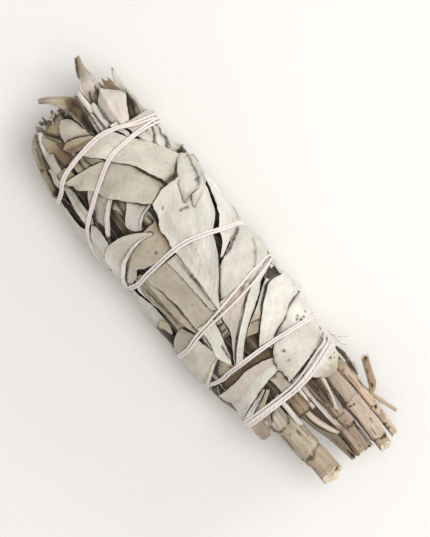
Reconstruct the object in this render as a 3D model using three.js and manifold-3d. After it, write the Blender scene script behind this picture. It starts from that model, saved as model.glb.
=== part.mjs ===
// A bunch of dried white sage: leafy stems laid side by side, their leaves folded round them,
// bound with a doubled cotton thread. Millimetres. The bunch lies along Y with its leaf tips
// towards +Y and its cut stems towards -Y, and it rests on a flat spot of its leaves at z = 0.
import * as THREE from "three";
import { mergeVertices } from "three/addons/utils/BufferGeometryUtils.js";
import Module from "manifold-3d";

const wasm = await Module();
wasm.setup();

// ---- Driving dimensions ----
const boxMiddle = [1.24, -3.96]; // of the whole bunch from above, in the coordinates of the tables below
// A girth distance over this is an angle round the bunch, from its top line towards +X.
const girthRadius = 15;
const flattening = 0.9; // height of the bunch's section over its width
const axisHeight = 12.9; // of the bunch's long axis over the surface that it lies on
const coreDepth = 3.3; // from the outermost leaves down to the packed inner mass
const coreSides = 14;
const layerStep = 0.75; // between one layer of leaves and the next
const layerStagger = 0.16; // of a layer step, between one leaf and the next in a layer
const topLayer = 4; // the layer that lies on the body's outline
const rootDepth = 0.8; // of a wrapped leaf in the packed inner mass
const bladeThickness = 0.7; // of a leaf that stands free
const rowLength = 8.5; // of a leaf, between its rows of points
const broadLeaf = 5.5; // a leaf wider than this has a ridge
const ridgeHeight = 0.12; // of a wrapped leaf's middle over its margins
const marginWave = 0.05; // of the half width
const ripDepth = 0.8; // of a torn end
const bodyHalf = 37; // along from the origin of the tables, as far as the thread draws the leaves in
const stemGap = 0.35; // round a stem in its socket, and between the thread and the leaves
const strandRadius = 0.33;
const strandPitch = 0.74; // between the thread's two strands
const threadLift = 0.15; // of the thread over the leaves that it is wound on
const knotRadius = 1.05;
const knotLift = 0.5;
const channelHeight = 2.5; // over the thread's middle line, free of leaves
const threadBite = 1.1; // how deep the thread pulls the leaves in
const biteWidth = 3.2;
const biteReach = 0.12; // in radians round the bunch
const groundGap = 0.05; // under the thread where the bunch rests
const threadStep = 4.8; // length of a straight piece of the thread
const turnSteps = 18; // of these in about one turn
const stepsPerPoint = 8; // of the winding, where its distance from a place is measured
const tautRounds = 60; // of evening out the thread's line
const ringLean = 2.2; // sideways, of a leaf end in a ring, at most
const stemSides = 8;
const stemCorner = 0.06; // how far a stem's section is squared
const leafTolerance = 0.1; // below which a facet of the leaves is dropped
const threadTolerance = 0.02;

// Outline of the body from above: [along, half width].
const bodyOutline = [
  [-42, 11.6], [-36, 12.6], [-30, 13.9], [-22, 15.0], [-8, 15.3], [3, 14.9],
  [14, 15.2], [24, 14.9], [31, 14.0], [38, 12.9], [46, 11.8], [54, 11.0],
];

// The packed inner mass: [along, how much thinner it is there].
const coreRings = [
  [-38, 3], [-36, 0], [-22, 0], [-8, 0], [6, 0], [20, 0], [31, 0], [37, 0.6], [40, 4],
];

// The thread's winding, from its knot: [degrees round the bunch, along], always turning one way.
const winding = [
  [78, -31.0], [50, -33.7], [25, -36.0], [0, -36.7], [-40, -36.6], [-65, -36.4],
  [-120, -35.6], [-180, -34.4], [-240, -32.6],
  [-282, -31.4], [-310, -33.0], [-335, -34.9], [-360, -35.9], [-400, -35.7], [-425, -35.3],
  [-480, -33.0], [-540, -30.0], [-600, -27.6],
  [-640, -26.8], [-670, -26.1], [-695, -25.4], [-720, -24.9], [-760, -24.6], [-785, -24.5],
  [-840, -21.0], [-900, -16.0], [-960, -12.0],
  [-1000, -10.4], [-1030, -10.9], [-1055, -11.8], [-1080, -12.7], [-1120, -13.9], [-1145, -14.9],
  [-1200, -13.6], [-1260, -7.5], [-1320, -2.2],
  [-1360, -0.5], [-1390, 0.9], [-1415, 2.9], [-1440, 4.2], [-1480, 3.8], [-1505, 3.6],
  [-1560, 7.5], [-1620, 17.0], [-1680, 26.0],
  [-1720, 29.2], [-1750, 31.2], [-1775, 33.5], [-1800, 34.1], [-1840, 32.5], [-1865, 29.4],
  [-1920, 27.6], [-1980, 27.6], [-2040, 28.6],
  [-2080, 28.9], [-2110, 29.5], [-2135, 29.5], [-2160, 28.6], [-2200, 23.4], [-2225, 19.3],
  [-2250, 12.0], [-2290, 0.0], [-2340, -14.0], [-2400, -27.0], [-2442, -31.0],
];
const knotTails = [
  [[74, -31.0, 0.2], [72, -32.6, 1.9], [76, -35.4, 3.4]],
  [[80, -31.4, 0.2], [86, -33.6, 1.0], [97, -36.0, 1.2]],
];

// Leaves on the upper side. A spine runs from a leaf's base to its tip through [girth, along]
// points, with the full width at each, and a leaf of a higher layer lies on the lower ones.
const upperLeaves = [
  // crossing leaves under the two end turns
  {
    spine: [[-10.9, 31], [-4.9, 27.3], [0, 23.2], [3.8, 17.3], [6, 12]],
    widths: [1.4, 6.4, 8.4, 7, 5], layer: 3,
  },
  {
    spine: [[-0.4, 36.5], [3.2, 31], [6.8, 26], [9.5, 21.5], [11.2, 16]],
    widths: [6, 7.8, 8, 7.6, 5], layer: 4,
  },
  { spine: [[7.4, 37], [9.8, 30.5], [11.6, 24.8]], widths: [3.6, 4.2, 0.8], layer: 3 },
  { spine: [[12, 37], [14.8, 29.5], [14.2, 22.2]], widths: [3.2, 4.4, 1], layer: 2 },
  { spine: [[16.5, 37], [19.3, 29], [18.4, 20.8]], widths: [4, 5.4, 5], layer: 1, torn: 1 },
  // left side, towards the tips
  { spine: [[-2.4, 27.5], [-7.6, 22], [-13.4, 15.6]], widths: [6, 8.2, 5], layer: 2 },
  { spine: [[-11.5, 40], [-12.4, 33], [-12.7, 26], [-13.6, 19]], widths: [2.6, 3, 2.3, 1.4], layer: 3 },
  { spine: [[-17.4, 36], [-19, 28], [-19.2, 20], [-18.4, 11.5]], widths: [3, 4.4, 5, 3.6], layer: 2 },
  { spine: [[-13.4, 21.6], [-14, 18], [-13.8, 14.2]], widths: [2.2, 3.3, 0.9], layer: 3 },
  { spine: [[-8.6, 36], [-6, 32.2], [-3, 28.4]], widths: [4.4, 4.8, 4], layer: 1 },
  // folded fan leaf and what shows round it
  {
    spine: [[-18.8, 3], [-15.4, 8.4], [-10.4, 11.3], [-3.4, 10.4]],
    widths: [2.6, 7.4, 6.4, 0.9], layer: 4,
  },
  { spine: [[-14, 6.6], [-6.5, 7.2], [0.6, 8.6]], widths: [5, 6.6, 7], layer: 1 },
  { spine: [[3, 20.6], [-1.3, 16.7], [-5.2, 12]], widths: [5, 5.4, 4.4], layer: 2 },
  { spine: [[-6, 23], [-4, 18], [-1.2, 12], [0.6, 6]], widths: [3.6, 4.2, 4, 3], layer: 0 },
  // broad pale leaf and the flap over its shoulder
  {
    spine: [[9, 18.6], [6.4, 10.4], [4.4, 3], [1.4, -5], [-1.5, -13]],
    widths: [9, 13, 11.2, 5.8, 0.8], layer: 4, torn: -1,
  },
  { spine: [[17, 21.4], [15, 17], [12, 12.6]], widths: [6, 7, 5], layer: 5 },
  { spine: [[21, 16], [18.6, 7], [14.6, 0], [8.6, -4.6]], widths: [8, 9, 7, 1], layer: 3 },
  { spine: [[22, 4], [13.4, -3.2], [6.6, -9], [0, -14.4]], widths: [7, 9.6, 9, 4], layer: 3 },
  { spine: [[23, -3], [17.4, -8], [12, -12]], widths: [5, 5, 2.4], layer: 3 },
  // left flank
  {
    spine: [[-19.4, 15], [-18.6, 6], [-18.2, -1], [-17.6, -7]],
    widths: [7, 8, 8, 7], layer: 2, torn: 1,
  },
  { spine: [[-12.4, 11], [-12.4, 0], [-11.9, -10.6]], widths: [2, 2.2, 1.8], layer: 2 },
  { spine: [[-9.4, 7], [-9.7, -2], [-9.4, -8], [-9.5, -14.5]], widths: [2.4, 2.8, 2.2, 0.8], layer: 1 },
  { spine: [[-5.6, 5], [-5.7, -3], [-5.4, -10], [-5.6, -16]], widths: [6.2, 7.2, 6.2, 5], layer: 3 },
  { spine: [[-3.3, 3.4], [-2.1, -2], [-1.8, -8], [-2.6, -14]], widths: [1.2, 1.6, 1.4, 1.4], layer: 4 },
  { spine: [[-24, -17], [-17.6, -13.6], [-11.6, -10.2]], widths: [6, 5, 1.2], layer: 2 },
  // between the third and the fourth turn from the stems
  {
    spine: [[-25, -23.4], [-18, -20.2], [-12, -17.6], [-8.6, -16.4]],
    widths: [9, 9.6, 7.6, 3.4], layer: 3,
  },
  {
    spine: [[-5.5, -11.5], [-5.7, -16], [-6.5, -20], [-7.3, -23.4]],
    widths: [5, 4.8, 3, 0.8], layer: 3,
  },
  {
    spine: [[3.2, -12], [-0.4, -15.4], [-3.5, -19.4], [-6.8, -23.9]],
    widths: [6, 4.6, 2.4, 0.8], layer: 3,
  },
  {
    spine: [[14, -10.3], [5, -15.8], [0, -19.3], [-6.4, -24.4]],
    widths: [2.2, 2.2, 1.9, 1.6], layer: 4,
  },
  { spine: [[6.4, -15.6], [3.2, -18.6], [0.6, -21.4]], widths: [3, 3, 1.8], layer: 1 },
  { spine: [[24, -15], [13.6, -17.4], [6.6, -20.6], [2, -25.4]], widths: [7, 7.6, 6.2, 4], layer: 3 },
  { spine: [[24, -21.4], [16, -22.7], [9, -24.6], [4, -26.2]], widths: [5, 4.6, 3.4, 2], layer: 2 },
  // between the stem-end turns
  {
    spine: [[-26, -32], [-16.6, -30.6], [-8.4, -29.4], [0.8, -28.8]],
    widths: [6, 6.2, 5.6, 3], layer: 3,
  },
  {
    spine: [[25, -28.6], [15.4, -29], [7.2, -29.9], [0.5, -31.4]],
    widths: [5, 5.6, 8, 6.4], layer: 3, torn: 1,
  },
  { spine: [[2.4, -31], [-1, -33.4], [-4, -36.4]], widths: [3, 3.6, 3], layer: 1 },
];

// Leaves that stand free at either end: [girth, along, lift over the body's outline].
const freeLeaves = [
  // upper side of the leaf tips
  {
    spine: [[8, 33, -3.4], [8, 40, -2], [7.9, 44.4, -1.2], [11.4, 51.6, -1.6]],
    widths: [3.4, 5, 4.4, 0.9], cup: 0.8,
  },
  {
    spine: [[1.6, 31, -3.4], [2, 38, -2], [2.2, 43.4, 0.2], [-0.6, 46.6, 0.4], [-5.4, 48.9, -0.8]],
    widths: [3, 3.6, 4, 2.8, 0.9], cup: 1.2,
  },
  { spine: [[3, 31, -2.6], [3.5, 38, -1.4], [4.2, 44.4, -0.8]], widths: [1.8, 2, 1.4], cup: 0.3 },
  { spine: [[5.6, 31, -2.6], [5.4, 37, -1.7], [5.2, 41.2, -1.6]], widths: [1.6, 1.6, 1.1], cup: 0.3 },
  { spine: [[10.2, 30, -2.4], [10.4, 37, -0.9], [9.8, 42.4, -1.3]], widths: [5, 6.8, 2.6], cup: 0.7 },
  {
    spine: [[13.4, 34, -4], [13.6, 39.6, -2.8], [15.6, 44.8, -3.6]],
    widths: [3, 4.6, 1], cup: 0.8, torn: 1,
  },
  { spine: [[17.4, 28, -2.2], [17, 34, -0.8], [16.4, 38.6, -0.6]], widths: [3, 3.6, 1.2], cup: 0.6 },
  {
    spine: [[-2.4, 30, -2.6], [-2.6, 37.4, -1.2], [-2.8, 42.4, -1.8]],
    widths: [4.4, 5.4, 2.2], cup: 0.7,
  },
  { spine: [[-8.4, 35.8, -0.9], [-3.4, 36.4, -0.6], [1.2, 35, -0.8]], widths: [1, 2.6, 1.6], cup: 0.2 },
  {
    spine: [[-7.2, 31, -3.4], [-7.4, 38, -2.4], [-7.6, 43.6, -3]],
    widths: [4, 4.4, 3.4], cup: 0.7, torn: 1,
  },
  { spine: [[-11.2, 31, -1.8], [-11.8, 37, -1.1], [-10.6, 43.6, -1.6]], widths: [3, 3.6, 1], cup: 0.5 },
  { spine: [[-16.4, 30, -2], [-17.6, 37, -0.6], [-13.4, 43.7, -1]], widths: [3.4, 3.2, 1], cup: 0.7 },
  // flaps below the last turn, at the stem end
  {
    spine: [[13.6, -31.5, -0.9], [11.4, -35.4, -0.9], [9.6, -39.3, -1.5]],
    widths: [8, 7, 1.4], cup: 0.7,
  },
  {
    spine: [[-16, -33.5, -1.4], [-14.4, -37.6, -1.5], [-13.6, -41.6, -1.9]],
    widths: [6, 5.4, 2], cup: 0.6,
  },
  {
    spine: [[17.8, -33, -1.4], [18.6, -38.4, -1.6], [19.4, -43.8, -2]],
    widths: [3, 2.8, 0.9], cup: 0.4,
  },
];

// Rings of leaf ends that fill the tip end, outermost first, with room for the leaves above.
const tipRings = [
  { count: 9, lift: -1.2, from: [104, 262], start: 27, reach: [40, 45.5], width: 5.4 },
  { count: 6, lift: -4.6, from: [20, 340], start: 32, reach: [41, 46], width: 4.8 },
  { count: 3, lift: -8.6, from: [0, 288], start: 33, reach: [40, 45], width: 4.4 },
];
// Ragged leaf bases round the lower side of the stem end.
const baseRing = { count: 5, lift: -1.6, from: [112, 250], start: -31, reach: [-38.5, -42.5], width: 5.6 };

// Leaves wrapped round the lower side, in rows along the bunch, placed by rule.
const lowerRows = {
  girths: [28.5, 38, 47, 56, 65.5], start: -25, step: 16.4, count: 4,
  steepest: 50, halfLength: [13.5, 17.5], width: [8, 10.4], bend: 1.6,
};

// Cut stems and their side twigs: rings of [x, along, z, radius] from the cut end inwards.
const stems = {
  stem_left: [
    [
      [-5.15, -58, 16.5, 2.95],
      [-5.4, -50.4, 17, 2.75],
      [-5.6, -49.6, 17, 3],
      [-5.95, -43, 17.6, 2.85],
      [-6.6, -20, 15.6, 2.4],
    ],
  ],
  stem_middle: [
    [
      [3.8, -57.3, 15, 2.3],
      [4.1, -51.6, 15.3, 2.1],
      [3.4, -44, 15.4, 1.9],
      [2.4, -20, 14.6, 1.7],
    ],
  ],
  stem_right: [
    [
      [8.1, -59.6, 15.4, 1.75],
      [8.4, -52, 15.8, 1.85],
      [8.5, -47, 16, 2],
      [8.7, -45.8, 16.2, 1.7],
      [8.6, -20, 14.4, 1.6],
    ],
  ],
  stem_edge: [
    [
      [11.4, -58.6, 13.2, 0.85],
      [11.7, -52, 13.5, 1],
      [11.8, -46, 13.8, 1.1],
      [11.5, -39.5, 13.7, 1.1],
      [10.4, -23, 11.4, 0.95],
    ],
    [
      [17, -40.7, 15.4, 0.85],
      [14.5, -46.7, 14.1, 0.85],
      [12.9, -48.2, 13.7, 0.55],
      [11.9, -49.4, 13.6, 0.5],
    ],
    [[15, -54.8, 12.4, 0.5], [13.6, -50.4, 13.1, 0.5], [12.4, -46, 13.6, 0.5]],
  ],
  stem_stub: [[[-1.2, -42.2, 19.6, 1.75], [-1.2, -38, 19.4, 1.8], [-1.3, -26, 17.8, 1.7]]],
  stem_spur: [
    [
      [5, -50.7, 18.9, 1.35],
      [4.9, -48.6, 19.1, 1.35],
      [4.6, -46.6, 19.2, 1.15],
      [4.9, -38, 18.9, 0.9],
      [5.1, -26, 17.6, 0.9],
    ],
  ],
  stem_curved: [
    [
      [1.2, -57, 13.4, 0.95],
      [0.4, -50.4, 14.6, 1.2],
      [-1.1, -45, 15.4, 1.1],
      [-2.1, -38, 15.6, 0.95],
      [-2.3, -27, 15, 0.85],
    ],
  ],
  stem_under_left: [[[-6, -52.5, 9.6, 2.2], [-6.4, -44, 9.8, 2.2], [-6.2, -22, 10, 1.9]]],
  stem_under_middle: [[[2.9, -54, 9.2, 2.3], [2.4, -44, 9.4, 2.3], [1.6, -22, 9.4, 2]]],
  stem_under_right: [[[8.6, -50.5, 10, 1.7], [8.4, -42, 10, 1.8], [7.6, -24, 10, 1.6]]],
  stem_lowest: [[[0.6, -47.5, 4.9, 1.8], [-0.2, -41, 4.9, 1.9], [-0.6, -24, 5.2, 1.7]]],
};

// ---- Shapes round the bunch ----
function between(table, at) {
  const last = table.length - 1;
  if (at <= table[0][0]) return table[0][1];
  if (at >= table[last][0]) return table[last][1];
  const i = table.findIndex((row) => row[0] > at);
  const share = (at - table[i - 1][0]) / (table[i][0] - table[i - 1][0]);
  return THREE.MathUtils.lerp(table[i - 1][1], table[i][1], THREE.MathUtils.smoothstep(share, 0, 1));
}

const place = (angle, along, radius) =>
  new THREE.Vector3(radius * Math.sin(angle), along, axisHeight + flattening * radius * Math.cos(angle));

const girthOf = (degrees) => THREE.MathUtils.degToRad(degrees) * girthRadius;
const windingCurve = new THREE.CatmullRomCurve3(
  winding.map(([degrees, along]) => new THREE.Vector3(girthOf(degrees), along, 0)),
);
const windingPoints = windingCurve.getPoints(winding.length * stepsPerPoint);

// How far the thread pulls the leaves in at a place.
function bite(angle, along) {
  let nearest = Infinity;
  for (const point of windingPoints) {
    const turn = point.x / girthRadius - angle;
    const away = Math.abs(Math.atan2(Math.sin(turn), Math.cos(turn)));
    if (away < biteReach) nearest = Math.min(nearest, Math.abs(point.y - along));
  }
  return threadBite * Math.exp(-((nearest / biteWidth) ** 2));
}

const surfaceRadius = (angle, along) => between(bodyOutline, along) - bite(angle, along);

// ---- Solids ----
// A three.js geometry as a solid that can be joined and cut.
function solidOf(geometry) {
  const bare = new THREE.BufferGeometry();
  bare.setAttribute("position", geometry.getAttribute("position"));
  bare.setIndex(geometry.index);
  const merged = mergeVertices(bare, 1e-4);
  return new wasm.Manifold(
    new wasm.Mesh({
      numProp: 3,
      vertProperties: Float32Array.from(merged.getAttribute("position").array),
      triVerts: Uint32Array.from(merged.index.array),
    }),
  );
}

// A closed solid through rings of points. Both halves of a ring are split into triangles alike.
function loft(rings) {
  const count = rings[0].length;
  const faces = [];
  const quad = (a, b, c, d, flip) => {
    if (flip) faces.push(a, b, d, b, c, d);
    else faces.push(a, b, c, a, c, d);
  };
  for (let ring = 0; ring + 1 < rings.length; ring++) {
    for (let i = 0; i < count; i++) {
      const low = ring * count;
      const next = (i + 1) % count;
      quad(low + i, low + next, low + count + next, low + count + i, i >= count / 2);
    }
  }
  for (const [base, isEnd] of [[0, false], [(rings.length - 1) * count, true]]) {
    for (let i = 0; i + 1 < count / 2; i++) {
      const [a, b, c, d] = [base + i, base + i + 1, base + count - 2 - i, base + count - 1 - i];
      if (isEnd) faces.push(a, b, c, a, c, d);
      else faces.push(a, c, b, a, d, c);
    }
  }
  const geometry = new THREE.BufferGeometry().setFromPoints(rings.flat());
  geometry.setIndex(faces);
  const solid = solidOf(geometry);
  if (solid.volume() > 0) return solid;
  geometry.setIndex(faces.reverse());
  return solidOf(geometry);
}

const joined = (solids) => solids.reduce((whole, solid) => whole.add(solid));

// The largest body of a solid: it drops loose scraps and fills sealed hollows.
const largest = (solid) => solid.decompose().sort((a, b) => b.volume() - a.volume())[0];

// A solid as a mesh of the bunch.
function meshOf(name, solid, material) {
  const { vertProperties, triVerts } = solid.getMesh();
  const geometry = new THREE.BufferGeometry();
  geometry.setAttribute("position", new THREE.BufferAttribute(vertProperties, 3));
  geometry.setIndex(new THREE.BufferAttribute(triVerts, 1));
  const mesh = new THREE.Mesh(geometry, material);
  mesh.name = name;
  return mesh;
}

// A leaf: rows of points across its upper face, two or, on a broad leaf, three, and as many below.
function leafSolid({ spine, widths, layer, cup = 0, torn = 0 }, number) {
  const free = layer === undefined;
  const points = spine.map(([girth, along, lift = 0]) => new THREE.Vector3(girth, along, lift));
  const curve = new THREE.CatmullRomCurve3(points);
  const rows = Math.max(2, Math.round(curve.getLength() / rowLength));
  const sides = Math.max(...widths) > broadLeaf ? [-1, 0, 1] : [-1, 1];
  const widthTable = widths.map((width, i) => [i / (widths.length - 1), width]);
  const rings = [];
  for (let row = 0; row <= rows; row++) {
    const share = row / rows;
    const middle = curve.getPoint(share);
    const heading = curve.getTangent(share).setZ(0).normalize();
    const half = between(widthTable, share) / 2;
    const near = between(bodyOutline, middle.y) + middle.z;
    const upper = [];
    const lower = [];
    for (const side of sides) {
      const rip = torn && share === (torn > 0 ? 1 : 0) ? torn * ripDepth * (side === 0 ? 1 : -1) : 0;
      const wave = side * half * (1 + marginWave * Math.sin(3 * row));
      const along = middle.y - heading.x * wave + heading.y * rip;
      const angle = middle.x / girthRadius + (heading.y * wave + heading.x * rip) / near;
      const step = (layer - topLayer + layerStagger * (number % 5)) * layerStep;
      const lift = free ? middle.z - (side ? cup : 0) : step - (side ? ridgeHeight : 0);
      const isPastBody = free && Math.abs(along) > bodyHalf;
      const top = (isPastBody ? between(bodyOutline, along) : surfaceRadius(angle, along)) + lift;
      const bottom = free ? top - bladeThickness : between(bodyOutline, along) - coreDepth - rootDepth;
      upper.push(place(angle, along, top));
      lower.unshift(place(angle, along, bottom));
    }
    rings.push([...upper, ...lower]);
  }
  return loft(rings);
}

// The same stream of numbers on every run.
function seeded(seed) {
  let state = seed;
  return (low, high) => {
    state = (state * 16807) % 2147483647;
    return low + ((high - low) * state) / 2147483647;
  };
}

function ringLeaves({ count, lift, from, start, reach, width }, random) {
  return Array.from({ length: count }, (_, i) => {
    const degrees = THREE.MathUtils.lerp(from[0], from[1], i / (count - 1)) + random(-4, 4);
    const girth = girthOf(degrees);
    const end = random(reach[0], reach[1]);
    const lean = random(-ringLean, ringLean);
    const spine = [
      [girth, start, lift],
      [girth, (start + end) / 2, lift + random(0, 0.8)],
      [girth + lean, end, lift - random(0, 1)],
    ];
    const widths = [width, width * random(0.85, 1.1), width * random(0.2, 0.7)];
    return { spine, widths, cup: 0.6, torn: i % 2 };
  });
}

function lowerLeaves(rows, random) {
  const { girths, start, step, count, steepest, halfLength } = rows;
  const leaves = [];
  girths.forEach((girth, row) => {
    for (let i = 0; i < count; i++) {
      const middle = [girth + random(-1.5, 1.5), start + step * i + random(-2.5, 2.5)];
      const sideways = 1 - Math.abs(girth / (Math.PI * girthRadius) - 1) * 2.2; // less near the top
      const turned = ((row + i) % 2 ? 1 : -1) * random(0.4, 1) * steepest * sideways;
      const slant = THREE.MathUtils.degToRad(turned);
      const reach = random(halfLength[0], halfLength[1]);
      const [dg, dy] = [Math.sin(slant) * reach, -Math.cos(slant) * reach];
      const width = random(rows.width[0], rows.width[1]);
      const bend = random(-rows.bend, rows.bend);
      leaves.push({
        spine: [
          [middle[0] - dg, middle[1] - dy],
          [middle[0] + bend, middle[1]],
          [middle[0] + dg, middle[1] + dy],
        ],
        widths: [width * 0.6, width, width * random(0.12, 0.5)],
        layer: 2 + ((row * 2 + i) % 3),
        torn: (row + 2 * i) % 3 === 0 ? 1 : 0,
      });
    }
  });
  return leaves;
}

function coreSolid() {
  return loft(
    coreRings.map(([along, taper]) =>
      Array.from({ length: coreSides }, (_, i) =>
        place((i / coreSides) * 2 * Math.PI, along, between(bodyOutline, along) - coreDepth - taper),
      ),
    ),
  );
}

// A length of stem: rings of points on a rounded square, square to its own line.
function stemLength(rings, grow) {
  const curve = new THREE.CatmullRomCurve3(rings.map(([x, y, z]) => new THREE.Vector3(x, y, z)));
  return loft(
    rings.map(([x, y, z, radius], ring) => {
      const line = curve.getTangent(ring / (rings.length - 1));
      const side = new THREE.Vector3(0, 0, 1).cross(line).normalize();
      const up = line.clone().cross(side).normalize();
      return Array.from({ length: stemSides }, (_, i) => {
        const turn = ((i + 0.5) / stemSides) * 2 * Math.PI;
        const reach = (radius + grow) * (1 - stemCorner * Math.cos(4 * turn));
        return new THREE.Vector3(x, y, z)
          .addScaledVector(side, Math.cos(turn) * reach)
          .addScaledVector(up, Math.sin(turn) * reach)
          .addScaledVector(line, ring === 0 ? -grow : 0);
      });
    }),
  );
}

const stemSolid = (lengths, grow = 0) => joined(lengths.map((rings) => stemLength(rings, grow)));

// ---- Thread ----
// The thread's middle line, in even steps: pulled into the leaves, but taut over the stems.
function tautLine(leaves, stalks) {
  leaves.material.side = stalks.material.side = THREE.DoubleSide;
  const caster = new THREE.Raycaster();
  const reachOf = (mesh, girth, along) => {
    const angle = girth / girthRadius;
    const out = place(angle, along, 2 * girthRadius);
    const axis = new THREE.Vector3(0, along, axisHeight);
    caster.set(out, axis.sub(out).normalize());
    const hit = caster.intersectObject(mesh)[0];
    return hit ? Math.hypot(hit.point.x, (hit.point.z - axisHeight) / flattening) : 0;
  };
  const steps = Math.round(windingCurve.getLength() / threadStep);
  const line = windingCurve.getSpacedPoints(steps);
  const floor = line.map((point, i) => {
    const next = line[Math.min(i + 1, steps)];
    const last = line[Math.max(i - 1, 0)];
    const near = [-0.6, -0.4, -0.2, 0, 0.2, 0.4, 0.6].flatMap((share) => {
      const at = point.clone().lerp(share < 0 ? last : next, Math.abs(share));
      return [-strandPitch, 0, strandPitch].map((aside) => [at.x, at.y + aside]);
    });
    const leafReach = near.reduce((sum, at) => sum + reachOf(leaves, ...at), 0) / near.length;
    const stemReach = Math.max(...near.map((at) => reachOf(stalks, ...at)));
    return Math.max(leafReach + threadLift, stemReach + stemGap) + strandRadius;
  });
  const radii = [...floor];
  for (let round = 0; round < tautRounds; round++) {
    for (let i = 1; i < steps; i++) {
      const step = Math.abs(line[i + 1].x - line[i - 1].x) / 2 / girthRadius;
      radii[i] = Math.max(floor[i], ((radii[i - 1] + radii[i + 1]) / 2) * Math.cos(step));
    }
  }
  return line.map((point, i) => {
    const out = place(point.x / girthRadius, point.y, radii[i]);
    return out.setZ(Math.max(out.z, strandRadius + groundGap)); // pressed in where the bunch rests
  });
}

// A tube through points: its section is flat or round, and lies square to the line and to the axis.
function tube(points, section, before, after) {
  return loft(
    points.map((point, i) => {
      const next = points[i + 1] ?? after ?? point;
      const last = points[i - 1] ?? before ?? point;
      const heading = next.clone().sub(last).normalize();
      const out = new THREE.Vector3(point.x, 0, point.z - axisHeight).normalize();
      const aside = heading.clone().cross(out).normalize();
      const up = aside.clone().cross(heading);
      return section.map(([a, b]) => point.clone().addScaledVector(aside, a).addScaledVector(up, b));
    }),
  );
}

// The same tube in lengths of one turn, so that a turn can cross an earlier one.
function windingTube(points, section) {
  const lengths = [];
  for (let start = 0; start + 1 < points.length; start += turnSteps) {
    const end = start + turnSteps + 1;
    lengths.push(tube(points.slice(start, end), section, points[start - 1], points[end]));
  }
  return joined(lengths);
}

const roundSection = (radius, aside, sides) =>
  Array.from({ length: sides }, (_, i) => {
    const turn = ((i + 0.5) / sides) * 2 * Math.PI;
    return [aside + Math.cos(turn) * radius, Math.sin(turn) * radius];
  });

// A channel that is open outwards.
function channelSection(halfWidth, depth) {
  return [
    [halfWidth, channelHeight], [-halfWidth, channelHeight],
    [-halfWidth, -depth], [halfWidth, -depth],
  ];
}

function knotSolid(at, grow) {
  const ball = new THREE.SphereGeometry(knotRadius + grow, 7, 5);
  ball.translate(at.x, at.y, at.z);
  return solidOf(ball);
}

function tailLine(points, radius) {
  const around = points.map(([degrees, along, lift]) =>
    place(THREE.MathUtils.degToRad(degrees), along, radius + lift),
  );
  return new THREE.CatmullRomCurve3(around).getPoints(4);
}

// ---- The bunch ----
const random = seeded(92017);
const leaves = [
  ...upperLeaves,
  ...freeLeaves,
  ...lowerLeaves(lowerRows, random),
  ...tipRings.flatMap((ring) => ringLeaves(ring, random)),
  ...ringLeaves(baseRing, random),
];
const roomAbove = new THREE.Vector3(120, 180, 60);
const aboveSurface = new THREE.BoxGeometry(...roomAbove);
aboveSurface.translate(0, 0, roomAbove.z / 2);
const sockets = Object.values(stems).map((lengths) => stemSolid(lengths, stemGap));
const packed = joined([coreSolid(), ...leaves.map(leafSolid)])
  .intersect(solidOf(aboveSurface))
  .subtract(joined(sockets));
const wound = largest(packed.simplify(leafTolerance));

const stalks = joined(Object.values(stems).map((lengths) => stemSolid(lengths)));
const middleLine = tautLine(meshOf("", wound), meshOf("", stalks));
const knotReach = Math.hypot(middleLine[0].x, (middleLine[0].z - axisHeight) / flattening);
const knotAt = place(THREE.MathUtils.degToRad(winding[0][0]), winding[0][1], knotReach + knotLift);
const tails = knotTails.map((tail) => tailLine(tail, knotReach));
const thread = joined([
  windingTube(middleLine, roundSection(strandRadius, strandPitch / 2, 4)),
  windingTube(middleLine, roundSection(strandRadius, -strandPitch / 2, 4)),
  knotSolid(knotAt, 0),
  ...tails.map((points) => tube(points, roundSection(strandRadius, 0, 4))),
]);
const clear = strandRadius + stemGap;
const groove = joined([
  windingTube(middleLine, channelSection(strandPitch / 2 + clear, clear)),
  knotSolid(knotAt, stemGap),
  ...tails.map((points) => tube(points, channelSection(clear, clear))),
]);

const leafMaterial = new THREE.MeshStandardMaterial({ color: 0xc9c7b8, roughness: 0.95, metalness: 0 });
const stemMaterial = new THREE.MeshStandardMaterial({ color: 0xb3a48d, roughness: 0.9, metalness: 0 });
const threadMaterial = new THREE.MeshStandardMaterial({ color: 0xeadfda, roughness: 0.8, metalness: 0 });

const sageBunch = new THREE.Group();
sageBunch.add(meshOf("leaf_bunch", largest(wound.subtract(groove).simplify(leafTolerance)), leafMaterial));
sageBunch.add(meshOf("cotton_thread", largest(thread.simplify(threadTolerance)), threadMaterial));
for (const [name, lengths] of Object.entries(stems)) {
  sageBunch.add(meshOf(name, stemSolid(lengths), stemMaterial));
}
sageBunch.position.set(-boxMiddle[0], -boxMiddle[1], 0);

export default sageBunch;
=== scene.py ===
import math

import bpy
import numpy as np
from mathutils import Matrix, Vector


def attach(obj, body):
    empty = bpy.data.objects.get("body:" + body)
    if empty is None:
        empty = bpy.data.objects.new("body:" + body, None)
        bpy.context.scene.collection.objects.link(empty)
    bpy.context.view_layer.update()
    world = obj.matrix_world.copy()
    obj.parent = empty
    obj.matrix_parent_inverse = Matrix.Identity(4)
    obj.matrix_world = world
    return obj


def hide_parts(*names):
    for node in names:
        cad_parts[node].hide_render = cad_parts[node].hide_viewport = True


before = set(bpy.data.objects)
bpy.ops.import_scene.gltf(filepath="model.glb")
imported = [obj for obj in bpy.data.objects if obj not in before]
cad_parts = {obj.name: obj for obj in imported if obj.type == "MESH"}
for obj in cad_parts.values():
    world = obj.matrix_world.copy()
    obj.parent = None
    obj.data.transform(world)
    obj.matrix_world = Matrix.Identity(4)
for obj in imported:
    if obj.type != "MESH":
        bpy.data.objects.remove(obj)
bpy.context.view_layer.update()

print("frame loaded")

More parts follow.
